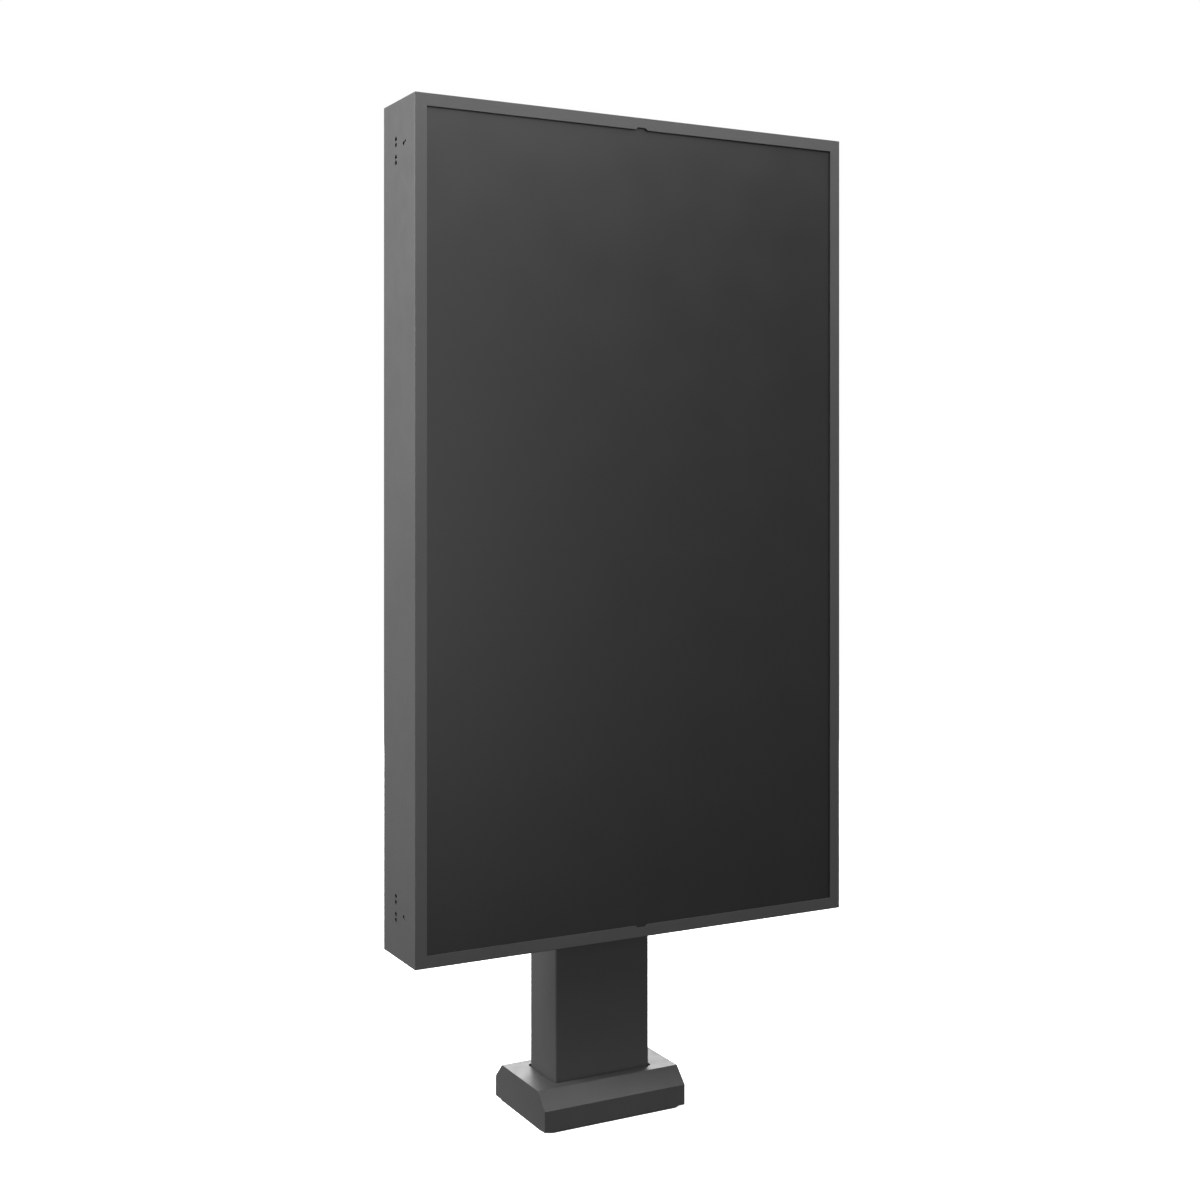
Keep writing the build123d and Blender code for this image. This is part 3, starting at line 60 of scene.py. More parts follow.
# ---------------------------------------------------------------- material tools
class Look:
    """A procedural material under construction: one principled shader and its helper nodes."""

    def __init__(self, name, **sockets):
        self.material = bpy.data.materials.new(name)
        self.material.use_nodes = True
        self.tree = self.material.node_tree
        self.shader = self.tree.nodes["Principled BSDF"]
        self.place = self.node("ShaderNodeTexCoord").outputs["Object"]
        for socket, value in sockets.items():
            self.shader.inputs[socket.replace("_", " ")].default_value = value

    def node(self, kind, **values):
        """A node whose attributes or unlinked inputs take the given values."""
        made = self.tree.nodes.new(kind)
        for name, value in values.items():
            if name in made.inputs:
                made.inputs[name].default_value = value
            else:
                setattr(made, name, value)
        return made

    def link(self, source, target):
        self.tree.links.new(source, target)

    def noise(self, scale, detail=2.0, roughness=0.5, stretch=(1, 1, 1)):
        """Noise from 0 to 1 in object space; scale is in features per metre."""
        mapping = self.node("ShaderNodeMapping", Scale=stretch)
        texture = self.node("ShaderNodeTexNoise", Scale=scale, Detail=detail, Roughness=roughness)
        self.link(self.place, mapping.inputs["Vector"])
        self.link(mapping.outputs["Vector"], texture.inputs["Vector"])
        return texture.outputs["Fac"]

    def spread(self, value, low, high, start=0.3, stop=0.7):
        """value, from start to stop, mapped to low to high and kept there."""
        ranged = self.node("ShaderNodeMapRange")
        for name, number in (("From Min", start), ("From Max", stop), ("To Min", low), ("To Max", high)):
            ranged.inputs[name].default_value = number
        self.link(value, ranged.inputs["Value"])
        return ranged.outputs["Result"]

    def tint(self, value, dark, light):
        """A colour between dark and light as value goes from 0.3 to 0.7."""
        ramp = self.node("ShaderNodeValToRGB")
        for element, place, colour in zip(ramp.color_ramp.elements, (0.3, 0.7), (dark, light)):
            element.position = place
            element.color = (*colour, 1.0)
        self.link(value, ramp.inputs["Fac"])
        return ramp.outputs["Color"]

    def colour(self, value, dark, light):
        self.link(self.tint(value, dark, light), self.shader.inputs["Base Color"])

    def roughness(self, value, low, high):
        self.link(self.spread(value, low, high), self.shader.inputs["Roughness"])

    def bump(self, *layers):
        """Bump layers, each (height, depth in metres), one on top of another."""
        normal = None
        for height, depth in layers:
            made = self.node("ShaderNodeBump", Strength=1.0, Distance=depth)
            self.link(height, made.inputs["Height"])
            if normal is not None:
                self.link(normal, made.inputs["Normal"])
            normal = made.outputs["Normal"]
        self.link(normal, self.shader.inputs["Normal"])


def shades(colour, spread):
    """A darker and a lighter version of a colour."""
    return [tuple(min(1.0, channel * factor) for channel in colour) for factor in (1 - spread, 1 + spread)]


def powder_coat():
    """Charcoal fine-textured powder coat: a tight grain over a slow orange peel."""
    look = Look("charcoal_powder_coat", IOR=1.45)
    grain = look.noise(1500.0, detail=2.0)
    peel = look.noise(260.0, detail=1.0)
    patch = look.noise(5.0, detail=3.0)
    look.colour(patch, *shades((0.047, 0.0472, 0.0475), 0.05))
    look.roughness(look.noise(34.0, detail=4.0), 0.46, 0.54)
    look.bump((peel, 0.00003), (grain, 0.00006))
    return look.material


def plated_steel(name, colour, roughness, streak=(1, 1, 1), blotch=0.10):
    """Bare or plated steel sheet with faint blotches and fine rolling marks."""
    look = Look(name, Metallic=1.0)
    marks = look.noise(420.0, detail=3.0, stretch=streak)
    look.colour(look.noise(46.0, detail=4.0, roughness=0.6), *shades(colour, blotch))
    look.roughness(marks, roughness - 0.06, roughness + 0.08)
    look.bump((marks, 0.00001))
    return look.material


def spangled_steel():
    """Galvanised sheet: crystal spangles a few millimetres across."""
    look = Look("galvanised_steel", Metallic=1.0)
    cells = look.node("ShaderNodeTexVoronoi", Scale=150.0)
    look.link(look.place, cells.inputs["Vector"])
    value = look.node("ShaderNodeSeparateColor")
    look.link(cells.outputs["Color"], value.inputs["Color"])
    look.colour(value.outputs["Red"], *shades((0.50, 0.51, 0.52), 0.06))
    look.roughness(value.outputs["Green"], 0.39, 0.47)
    look.bump((look.noise(500.0), 0.000005))
    return look.material


def coated(name, colour, roughness, grain_scale, grain_depth, spread=0.08, **sockets):
    """A moulded or painted surface with a fine grain."""
    look = Look(name, **sockets)
    grain = look.noise(grain_scale, detail=2.0)
    look.colour(look.noise(22.0, detail=3.0), *shades(colour, spread))
    look.roughness(look.noise(70.0, detail=3.0), roughness - 0.05, roughness + 0.06)
    look.bump((grain, grain_depth))
    return look.material


def anti_glare_glass():
    """Etched glass over a switched-off display: nearly black, with a soft sheen and a fine sparkle."""
    look = Look("touch_glass", IOR=1.5)
    look.colour(look.noise(3.0, detail=2.0), *shades((0.0078, 0.0079, 0.0080), 0.04))
    look.roughness(look.noise(12.0, detail=3.0), 0.39, 0.43)
    look.bump((look.noise(2600.0, detail=1.0), 0.00001))
    return look.material


def circuit_board(name, mask, trace):
    """Solder mask over copper tracks, which run square to one another."""
    look = Look(name, Roughness=0.34, IOR=1.5)
    tracks = look.node("ShaderNodeTexBrick", Scale=130.0)
    tracks.offset = 0.5
    for socket, value in (("Mortar Size", 0.035), ("Color1", (*mask, 1)), ("Mortar", (*trace, 1)),
                          ("Color2", (*[channel * 0.86 for channel in mask], 1))):
        tracks.inputs[socket].default_value = value
    turn = look.node("ShaderNodeMapping", Rotation=(math.pi / 2, 0, 0))
    look.link(look.place, turn.inputs["Vector"])
    look.link(turn.outputs["Vector"], tracks.inputs["Vector"])
    look.link(tracks.outputs["Color"], look.shader.inputs["Base Color"])
    look.bump((tracks.outputs["Fac"], 0.00003))
    return look.material


def foam():
    """Open-cell filter foam: the pores are pits in the bump, and their colour is painted darker than the struts as
    painted shade in the pits.
    """
    look = Look("filter_foam", Roughness=0.95)
    cells = look.node("ShaderNodeTexVoronoi", Scale=520.0)
    look.link(look.place, cells.inputs["Vector"])
    # painted shade: the colour is darkest at the cells' middles, where the bump sinks into pores
    look.colour(cells.outputs["Distance"], (0.006, 0.006, 0.006), (0.026, 0.026, 0.026))
    look.bump((cells.outputs["Distance"], 0.0008))
    return look.material


SLOT_LOOKS = {
    "charcoal_powder_coat": powder_coat(),
    "zinc_plated_steel": plated_steel("zinc_plated_steel", (0.58, 0.60, 0.62), 0.34),
    "stainless_steel": plated_steel("stainless_steel", (0.60, 0.59, 0.57), 0.28, streak=(0.06, 1, 1)),
    "brass": plated_steel("brass", (0.72, 0.53, 0.24), 0.26, streak=(1, 0.08, 1)),
    "galvanised_steel": spangled_steel(),
    "perforated_aluminium": plated_steel("perforated_aluminium", (0.74, 0.75, 0.76), 0.38,
                                         streak=(1, 1, 0.05)),
    "black_oxide_steel": coated("black_oxide_steel", (0.022, 0.022, 0.023), 0.34, 900.0, 0.00002,
                                Metallic=0.6),
    "black_coated_steel": coated("black_coated_steel", (0.018, 0.018, 0.019), 0.46, 1100.0, 0.00003),
    "black_plastic": coated("black_plastic", (0.020, 0.020, 0.021), 0.48, 1300.0, 0.00004),
    "black_rubber": coated("black_rubber", (0.012, 0.012, 0.012), 0.72, 700.0, 0.00003),
    "grey_plastic": coated("grey_plastic", (0.52, 0.53, 0.53), 0.42, 1200.0, 0.00003, spread=0.03),
    "toggle_plastic": coated("toggle_plastic", (0.030, 0.032, 0.040), 0.35, 900.0, 0.00002),
    "button_plastic": coated("button_plastic", (0.035, 0.035, 0.036), 0.25, 900.0, 0.00001),
    "white_diffuser": coated("white_diffuser", (0.80, 0.80, 0.80), 0.40, 600.0, 0.00001, spread=0.01),
    "white_circuit_board": coated("white_circuit_board", (0.72, 0.72, 0.70), 0.36, 500.0, 0.00001,
                                  spread=0.03),
    "lcd_glass": coated("lcd_glass", (0.010, 0.010, 0.011), 0.20, 400.0, 0.000005),
    "touch_glass": anti_glare_glass(),
    "green_circuit_board": circuit_board("green_circuit_board", (0.012, 0.085, 0.040), (0.03, 0.17, 0.085)),
    "filter_foam": foam(),
}

slot_of_node = {part["node"]: part["material_slot"] for part in frame["record"]["subparts"]}
for name, node in nodes.items():
    node.data.materials.clear()
    node.data.materials.append(SLOT_LOOKS[slot_of_node[name]])


# ---------------------------------------------------------------- mesh tools
RING = 48          # points around a turned piece


def circle(radius, height):
    """A ring of points around +Z."""
    return [Vector((radius * math.cos(turn), radius * math.sin(turn), height))
            for turn in (2 * math.pi * step / RING for step in range(RING))]


def hexagon(flats, height):
    """A hexagon with as many points as a circle, as wide across flats as given."""
    ring = []
    for step in range(RING):
        turn = 2 * math.pi * step / RING
        radius = flats / 2 / math.cos((turn % (math.pi / 3)) - math.pi / 6)
        ring.append(Vector((radius * math.cos(turn), radius * math.sin(turn), height)))
    return ring


def stadium(length, width, height):
    """A ring with straight sides along X and round ends."""
    straight = max(0.0, length - width) / 2
    return [point + Vector((math.copysign(straight, point.x), 0, 0)) for point in circle(width / 2, height)]


def skin(shape, rings, place=Matrix(), closed=False):
    """Quads between neighbouring rings. The end rings are capped, or joined if closed."""
    loops = [[shape.verts.new(place @ point) for point in ring] for ring in rings]
    pairs = list(zip(loops, loops[1:]))
    if closed:
        pairs.append((loops[-1], loops[0]))
    for one, other in pairs:
        for step in range(len(one)):
            following = (step + 1) % len(one)
            shape.faces.new((one[step], one[following], other[following], other[step]))
    if not closed:
        shape.faces.new(reversed(loops[0]))
        shape.faces.new(loops[-1])


def block(shape, low, high, edge=0.0):
    """A box with its edges bevelled."""
    middle = [(one + other) / 2 for one, other in zip(low, high)]
    size = [other - one for one, other in zip(low, high)]
    place = Matrix.Translation(middle) @ Matrix.Diagonal((*size, 1))
    made = bmesh.ops.create_cube(shape, size=1.0, matrix=place)
    if edge:
        edges = {side for vertex in made["verts"] for side in vertex.link_edges}
        bmesh.ops.bevel(shape, geom=list(edges), offset=edge, segments=2, affect="EDGES", profile=0.5)


def piece(name, body, slot, shape, smooth=40.0):
    """Turns a mesh under construction into an object that rides on a body."""
    bmesh.ops.recalc_face_normals(shape, faces=shape.faces)
    mesh = bpy.data.meshes.new(name)
    shape.to_mesh(mesh)
    shape.free()
    for face in mesh.polygons:
        face.use_smooth = True
    mesh.set_sharp_from_angle(angle=math.radians(smooth))
    made = bpy.data.objects.new(name, mesh)
    bpy.context.scene.collection.objects.link(made)
    mesh.materials.append(SLOT_LOOKS[slot])
    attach(made, body)
    return made


def solids(node):
    """The lowest and highest corners of each separate solid of a node, in order of place."""
    shape = bmesh.new()
    shape.from_mesh(nodes[node].data)
    bmesh.ops.remove_doubles(shape, verts=shape.verts, dist=1e-6)
    left = set(shape.verts)
    boxes = []
    while left:
        group, edge = set(), [left.pop()]
        while edge:
            vertex = edge.pop()
            group.add(vertex)
            for side in vertex.link_edges:
                other = side.other_vert(vertex)
                if other in left:
                    left.discard(other)
                    edge.append(other)
        boxes.append([Vector([pick(vertex.co[axis] for vertex in group) for axis in range(3)])
                      for pick in (min, max)])
    shape.free()
    return sorted(boxes, key=lambda box: tuple(round(value, 5) for value in box[0]))


def along_y(x, y, z, sign=1):
    """A frame at a point whose Z runs along +Y or -Y."""
    return Matrix.Translation((x, y, z)) @ Matrix.Rotation(-sign * math.pi / 2, 4, "X")


# ---------------------------------------------------------------- fasteners
THREAD_PITCH = 0.8 * MM
THREAD_DEPTH = 0.35 * MM


def thread(radius, start, stop):
    """Rings of a threaded shank from start up to stop."""
    turns = max(1, int((stop - start) / THREAD_PITCH))
    rings = [circle(radius - 2 * THREAD_DEPTH, start)]
    for turn in range(turns):
        rings.append(circle(radius - THREAD_DEPTH, start + (turn + 0.25) * THREAD_PITCH))
        rings.append(circle(radius, start + (turn + 0.75) * THREAD_PITCH))
    rings.append(circle(radius, stop))
    return rings


def button_head(radius, height):
    """Rings of a domed head with a hexagonal drive socket, standing on the plane z = 0."""
    flats = radius * 0.62      # the socket's width across flats
    bottom = height * 0.35     # the socket's floor
    dome = [circle(radius * math.cos(turn), height * 0.22 + height * 0.78 * math.sin(turn))
            for turn in (math.radians(angle) for angle in (0, 15, 30, 42, 52))]
    return [circle(radius * 0.96, 0), circle(radius, height * 0.08), *dome, circle(flats * 0.62, height),
            hexagon(flats, height * 0.97), hexagon(flats, bottom), circle(flats * 0.2, bottom * 0.55)]


def head_seat(node):
    """The lowest y of a group of screws' heads, which are wider than their shanks."""
    low, high = solids(node)[0]
    centre = (low + high) / 2
    reach = (high.x - low.x) / 2
    near = [vertex.co for vertex in nodes[node].data.vertices
            if math.hypot(vertex.co.x - centre.x, vertex.co.z - centre.z) < reach * 1.01]
    return min(point.y for point in near if math.hypot(point.x - centre.x, point.z - centre.z) > reach * 0.97)


def build_screws(node, body, slot, shank_radius):
    """Button-head screws in place of the plain ones, with their heads to the rear."""
    seat = head_seat(node)
    shape = bmesh.new()
    for low, high in solids(node):
        centre = (low + high) / 2
        rings = thread(shank_radius, low.y - seat, 0) + button_head((high.x - low.x) / 2, high.y - seat)
        skin(shape, rings, along_y(centre.x, seat, centre.z))
    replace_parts(piece(node + "_detailed", body, slot, shape), node)


def nut_rings(flats, height, bore):
    """A hexagonal nut from z = 0 up, chamfered at both ends."""
    rim = flats * 0.47
    bevel = flats * 0.075
    return [circle(bore, 0), circle(rim, 0), hexagon(flats, bevel), hexagon(flats, height - bevel),
            circle(rim, height), circle(bore, height)]


def build_bolts():
    """Hexagon bolts whose heads bear on washers behind the mount plate."""
    seat = head_seat("mount_bolts")
    shape = bmesh.new()
    for low, high in solids("mount_bolts"):
        centre = (low + high) / 2
        height = high.y - seat
        flats = min(high.x - low.x, high.z - low.z)
        rings = thread(4.0 * MM, low.y - seat, 0)
        rings += [circle(flats * 0.48, 0), hexagon(flats, height * 0.08), hexagon(flats, height * 0.80),
                  circle(flats * 0.475, height), circle(flats * 0.36, height),
                  circle(flats * 0.33, height * 0.93)]
        skin(shape, rings, along_y(centre.x, seat, centre.z))
    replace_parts(piece("mount_bolts_detailed", "stand", "black_oxide_steel", shape), "mount_bolts")


def build_nuts(node, body, bore):
    """Chamfered hexagon nuts in place of the plain ones."""
    shape = bmesh.new()
    for low, high in solids(node):
        centre = (low + high) / 2
        flats = min(high.x - low.x, high.z - low.z)
        skin(shape, nut_rings(flats, high.y - low.y, bore), along_y(centre.x, low.y, centre.z), closed=True)
    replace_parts(piece(node + "_detailed", body, "zinc_plated_steel", shape), node)


LATCH_NUT_FLATS = 12.6 * MM
LATCH_NUT_HEIGHT = 3.8 * MM
LATCH_NUT_BORE = 3.0 * MM       # radius
LATCH_NUT_SUNK = 3.3 * MM       # how far the nut starts before the latch's inner end


def build_latch_nuts():
    """A hexagon nut on the inner end of each latch."""
    for end in ("upper", "lower"):
        inner_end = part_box("latch_cam_" + end)[1][0]
        axis = joints["latch_%s_turn" % end]["pos_m"]
        shape = bmesh.new()
        start = Matrix.Translation((inner_end - LATCH_NUT_SUNK, axis[1], axis[2]))
        place = start @ Matrix.Rotation(math.pi / 2, 4, "Y")
        skin(shape, nut_rings(LATCH_NUT_FLATS, LATCH_NUT_HEIGHT, LATCH_NUT_BORE), place, closed=True)
        piece("latch_nut_" + end, "latch_" + end, "zinc_plated_steel", shape)


# ---------------------------------------------------------------- welds
WELD_RADIUS = 2.2 * MM
WELD_STEP = 1.6 * MM
STITCHES = 5                    # on each side of the column
STITCH_LENGTH = 45 * MM
FOOT_CORNER = 4 * MM            # left clear at the column's corners
FOOT_GAP = 4 * MM               # left clear at the gussets, either side of the middle


def weld(shape, start, stop, face_one, face_two):
    """A fillet weld's rippled bead from start to stop, in the corner of two faces with these normals."""
    run = Vector(stop) - Vector(start)
    one, two = Vector(face_one), Vector(face_two)
    count = int(run.length / WELD_STEP)
    rings = []
    for step in range(count + 1):
        for lag, swell in ((0.0, 0.86), (0.55, 1.12)):
            share = min(1.0, (step + lag) / count)
            at = Vector(start) + run * share
            radius = WELD_RADIUS * swell * min(1.0, 0.35 + 3.0 * min(share, 1 - share) * count / 4)
            ring = []
            for turn in (math.radians(angle) for angle in (-35, 0, 22, 45, 68, 90, 125)):
                ring.append(at + radius * (one * math.cos(turn) + two * math.sin(turn)))
            rings.append(ring)
    skin(shape, rings)


def build_column_welds():
    """Stitch welds that hold the mount plate on the column, and a run all round the column's foot."""
    low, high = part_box("column")
    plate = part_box("mount_plate")
    half, back = high[0], high[1]
    pitch = (plate[1][2] - plate[0][2] - STITCH_LENGTH) / (STITCHES - 1)
    shape = bmesh.new()
    for side in (-1, 1):
        for step in range(STITCHES):
            z = plate[0][2] + step * pitch
            start, stop = (side * half, low[1], z), (side * half, low[1], z + STITCH_LENGTH)
            weld(shape, start, stop, (side, 0, 0), (0, 1, 0))
    foot = low[2]
    for side in (-1, 1):
        for start, stop in ((-back + FOOT_CORNER, -FOOT_GAP), (FOOT_GAP, back - FOOT_CORNER)):
            weld(shape, (side * half, start, foot), (side * half, stop, foot), (side, 0, 0), (0, 0, 1))
        for start, stop in ((-half + FOOT_CORNER, -FOOT_GAP), (FOOT_GAP, half - FOOT_CORNER)):
            weld(shape, (start, side * back, foot), (stop, side * back, foot), (0, side, 0), (0, 0, 1))
    piece("column_welds", "stand", "charcoal_powder_coat", shape, smooth=80.0)


def build_gusset_welds():
    """A bead along both sides of each gusset's foot and upright, clear of the corner between them."""
    clear = 4 * MM
    shape = bmesh.new()
    for low, high in solids("column_gussets"):
        middle = (low + high) / 2
        along_x = high.x - low.x > high.y - low.y
        axis, across = (0, 1) if along_x else (1, 0)
        outward = math.copysign(1.0, middle[axis])
        inner = low[axis] if outward > 0 else high[axis]
        outer = high[axis] if outward > 0 else low[axis]
        for side in (-1, 1):
            face = (high if side > 0 else low)[across]
            normal = [0, 0, 0]
            normal[across] = side
            away = [0, 0, 0]
            away[axis] = outward
            foot = [[0, 0, low.z], [0, 0, low.z]]
            for point, place in zip(foot, (inner + outward * clear, outer)):
                point[axis], point[across] = place, face
            weld(shape, foot[0], foot[1], normal, (0, 0, 1))
            upright = [list(foot[0]), list(foot[0])]
            for point, z in zip(upright, (low.z + clear, high.z)):
                point[axis], point[2] = inner, z
            weld(shape, upright[0], upright[1], normal, away)
    piece("gusset_welds", "stand", "charcoal_powder_coat", shape, smooth=80.0)


# ---------------------------------------------------------------- fans
BLADES = 7
BLADE_SPANS = 10
BLADE_CHORDS = 8
BLADE_THICKNESS = 1.3 * MM
BLADE_REACH = 12.4 * MM         # along the fan's axis
BLADE_BELOW_TOP = 6.6 * MM      # blade's middle line below the hub's open end
HUB_RADIUS = 21 * MM
HUB_DEPTH = 15.5 * MM


def build_rotor(side):
    """A hub with a lipped rim and seven twisted, swept blades, in place of the plain rotor."""
    node = "fan_rotor_" + side
    low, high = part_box(node)
    centre = Vector(joints["fan_%s_spin" % side]["pos_m"])
    hub = HUB_RADIUS
    tip = (high[0] - low[0]) / 2
    front = low[1]
    depth = HUB_DEPTH
    shape = bmesh.new()
    place = along_y(centre.x, front, centre.z)
    rings = [circle(hub * 0.55, 0.9 * MM), circle(hub * 0.60, 0), circle(hub * 0.90, 0)]
    rings += [circle(hub - 2 * MM * (1 - math.sin(turn)), 2 * MM * (1 - math.cos(turn)))
              for turn in (math.radians(angle) for angle in (30, 60, 90))]
    rings += [circle(hub, depth - 0.5 * MM), circle(hub - 0.5 * MM, depth), circle(hub - 3 * MM, depth)]
    skin(shape, rings, place)
    for blade in range(BLADES):
        sections = []
        for span in range(BLADE_SPANS + 1):
            share = span / BLADE_SPANS
            radius = hub - 1.0 * MM + (tip - hub + 1.0 * MM) * share
            pitch = math.radians(44 - 18 * share)
            sweep = 2 * math.pi * blade / BLADES + math.radians(16) * share ** 1.5
            chord = BLADE_REACH / math.sin(pitch)
            loop = []
            steps = [step / BLADE_CHORDS for step in range(BLADE_CHORDS + 1)]
            for face, order in ((1, steps), (-1, steps[::-1])):
                for along in order:
                    camber = 0.09 * chord * math.sin(math.pi * along)
                    swell = 0.35 + 0.65 * math.sin(math.pi * along) ** 0.5
                    offset = camber + face * BLADE_THICKNESS / 2 * swell
                    run = (along - 0.5) * chord
                    arc = (run * math.cos(pitch) - offset * math.sin(pitch)) / radius
                    rise = depth - BLADE_BELOW_TOP + run * math.sin(pitch) + offset * math.cos(pitch)
                    turn = sweep + arc
                    loop.append(Vector((radius * math.cos(turn), radius * math.sin(turn), rise)))
            sections.append(loop)
        skin(shape, sections, place)
    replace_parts(piece(node + "_detailed", "fan_" + side, "black_plastic", shape), node)


# ---------------------------------------------------------------- display and boards
RIB_ROWS = 9
RIB_WIDTH = 16 * MM
RIB_RISE = 2.2 * MM
RIB_FROM_BOARD = 15 * MM        # a rib's middle line to a board
RIB_FROM_RAIL = 30 * MM         # a middle rib's ends to the rails
SIDE_RIB_GAPS = 34 * MM         # both ends of a side rib together


def build_tray_embossing():
    """Pressed stiffening ribs on the back of the backlight tray: between the rails and beside them."""
    low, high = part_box("backlight_tray")
    rail = solids("display_rails")[0]
    inner, outer, edge = abs(rail[1].x), abs(rail[0].x), abs(low[0])
    boards = [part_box(name) for name in ("driver_board", "touch_controller")]
    pitch = (high[2] - low[2]) / RIB_ROWS
    shape = bmesh.new()
    for row in range(RIB_ROWS):
        z = (low[2] + high[2]) / 2 + (row - (RIB_ROWS - 1) / 2) * pitch
        under_board = any(box[0][2] - RIB_FROM_BOARD < z < box[1][2] + RIB_FROM_BOARD for box in boards)
        for column in (-1, 0, 1):
            if column == 0 and under_board:
                continue
            if column == 0:
                length, x = 2 * (inner - RIB_FROM_RAIL), 0.0
            else:
                length, x = edge - outer - SIDE_RIB_GAPS, column * (edge + outer) / 2
            rings = [stadium(length - inset, RIB_WIDTH - inset, RIB_RISE * height)
                     for inset, height in ((0, 0), (2 * MM, 0.35), (5 * MM, 0.9), (7 * MM, 1.0))]
            skin(shape, rings, along_y(x, high[1], z))
    piece("tray_embossing", "door", "galvanised_steel", shape, smooth=50.0)


def scatter_chips(shape, area, level, count, draw, clear=()):
    """Small resistors and capacitors on a board's rear face, away from the boxes in clear."""
    border, room = 4 * MM, 3 * MM
    placed = 0
    while placed < count:
        x = draw.uniform(area[0] + border, area[1] - border)
        z = draw.uniform(area[2] + border, area[3] - border)
        long, short = draw.choice(((2.0, 1.2), (1.6, 0.8), (3.2, 1.6)))
        if draw.random() < 0.5:
            long, short = short, long
        if any(box[0] - room < x < box[1] + room and box[2] - room < z < box[3] + room for box in clear):
            continue
        block(shape, (x - long / 2 * MM, level, z - short / 2 * MM), (x + long / 2 * MM, level + 0.7 * MM,
              z + short / 2 * MM))
        placed += 1


BOARD_THICKNESS = 1.6 * MM
SINK_BASE = 2.5 * MM
SINK_FINS = 9
CHIPS_ON_A_BOARD = 46
KIND_SLOTS = {"sink": "black_coated_steel", "chip": "black_plastic", "plug": "grey_plastic",
              "port": "stainless_steel", "can": "perforated_aluminium"}


def build_board(node, slots, seed):
    """A populated board in place of a plain one.

    Each of slots is a kind and its x and z from the board's middle, width, height and depth in millimetres.
    """
    low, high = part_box(node)
    shape = bmesh.new()
    level = low[1] + BOARD_THICKNESS
    block(shape, low, (high[0], level, high[2]), edge=0.2 * MM)
    board = piece(node + "_detailed", "door", "green_circuit_board", shape)
    parts = []
    for kind, (x, z, width, height, depth) in slots:
        centre = ((low[0] + high[0]) / 2 + x * MM, (low[2] + high[2]) / 2 + z * MM)
        parts.append((kind, [centre[0] - width / 2 * MM, centre[0] + width / 2 * MM,
                             centre[1] - height / 2 * MM, centre[1] + height / 2 * MM], depth * MM))
    by_slot = {}
    for kind, (left, right, bottom, top), depth in parts:
        into = by_slot.setdefault(KIND_SLOTS[kind], bmesh.new())
        if kind == "sink":
            block(into, (left, level, bottom), (right, level + SINK_BASE, top), edge=0.3 * MM)
            for fin in range(SINK_FINS):
                x = left + (right - left) * (fin + 0.5) / SINK_FINS
                block(into, (x - 0.6 * MM, level + SINK_BASE, bottom + 1 * MM),
                      (x + 0.6 * MM, level + depth, top - 1 * MM), edge=0.2 * MM)
        elif kind == "can":
            for x in (left, right):
                skin(into, [circle(4.0 * MM, 0), circle(4.0 * MM, depth - 0.8 * MM), circle(3.4 * MM, depth),
                            circle(3.0 * MM, depth - 0.2 * MM)], along_y(x, level, (bottom + top) / 2))
        else:
            block(into, (left, level, bottom), (right, level + depth, top), edge=0.4 * MM)
            if kind == "plug":
                pins = by_slot.setdefault("stainless_steel", bmesh.new())
                count = max(3, int((right - left) / (2.5 * MM)))
                for pin in range(count):
                    x = left + (right - left) * (pin + 0.5) / count
                    block(pins, (x - 0.3 * MM, level, bottom - 1.2 * MM),
                          (x + 0.3 * MM, level + 0.5 * MM, bottom))
            elif kind == "chip":
                pins = by_slot.setdefault("stainless_steel", bmesh.new())
                count = max(4, int((right - left) / (1.3 * MM)))
                for pin in range(count):
                    x = left + (right - left) * (pin + 0.5) / count
                    for start, stop in ((bottom - 1 * MM, bottom), (top, top + 1 * MM)):
                        block(pins, (x - 0.2 * MM, level, start), (x + 0.2 * MM, level + 0.4 * MM, stop))
    chips = by_slot.setdefault("black_plastic", bmesh.new())
    scatter_chips(chips, (low[0], high[0], low[2], high[2]), level, CHIPS_ON_A_BOARD, random.Random(seed),
                  [box for _, box, _ in parts])
    for slot, into in by_slot.items():
        piece("%s_%s" % (node, slot), "door", slot, into)
    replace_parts(board, node)


def build_boards():
    build_board("driver_board", (
        ("sink", (-20, 10, 34, 34, 9)), ("chip", (40, 20, 18, 18, 2)), ("plug", (0, -49, 60, 9, 6)),
        ("plug", (-66, -48, 24, 10, 7)), ("port", (60, -48, 30, 10, 7)), ("can", (-66, 26, 12, 8, 8.5)),
        ("chip", (40, -12, 12, 8, 1.6)), ("can", (68, 30, 10, 8, 8)), ("chip", (-66, -8, 10, 8, 1.6))), 7)
    build_board("touch_controller", (
        ("chip", (0, 4, 14, 14, 1.6)), ("plug", (0, -23, 40, 7, 5)), ("port", (28, 14, 12, 9, 4))), 11)


# ---------------------------------------------------------------- mains and supply details
def pan_head(shape, place, radius, height):
    """A pan head, standing on z = 0 of place."""
    skin(shape, [circle(radius, 0), circle(radius, height * 0.6), circle(radius * 0.85, height),
                 circle(radius * 0.2, height * 1.02)], place)


def recess_shade_cross(shape, place, radius):
    """A thin raised cross on a screw's head, centred on place, where the drive recess would be; drawn in a dark
    finish, it is painted shade standing in for the recess.
    """
    for long, short in ((radius * 0.75, radius * 0.14), (radius * 0.14, radius * 0.75)):
        stroke = Matrix.Diagonal((2 * long, 2 * short, 0.3 * MM, 1))
        bmesh.ops.create_cube(shape, size=1.0, matrix=place @ stroke)


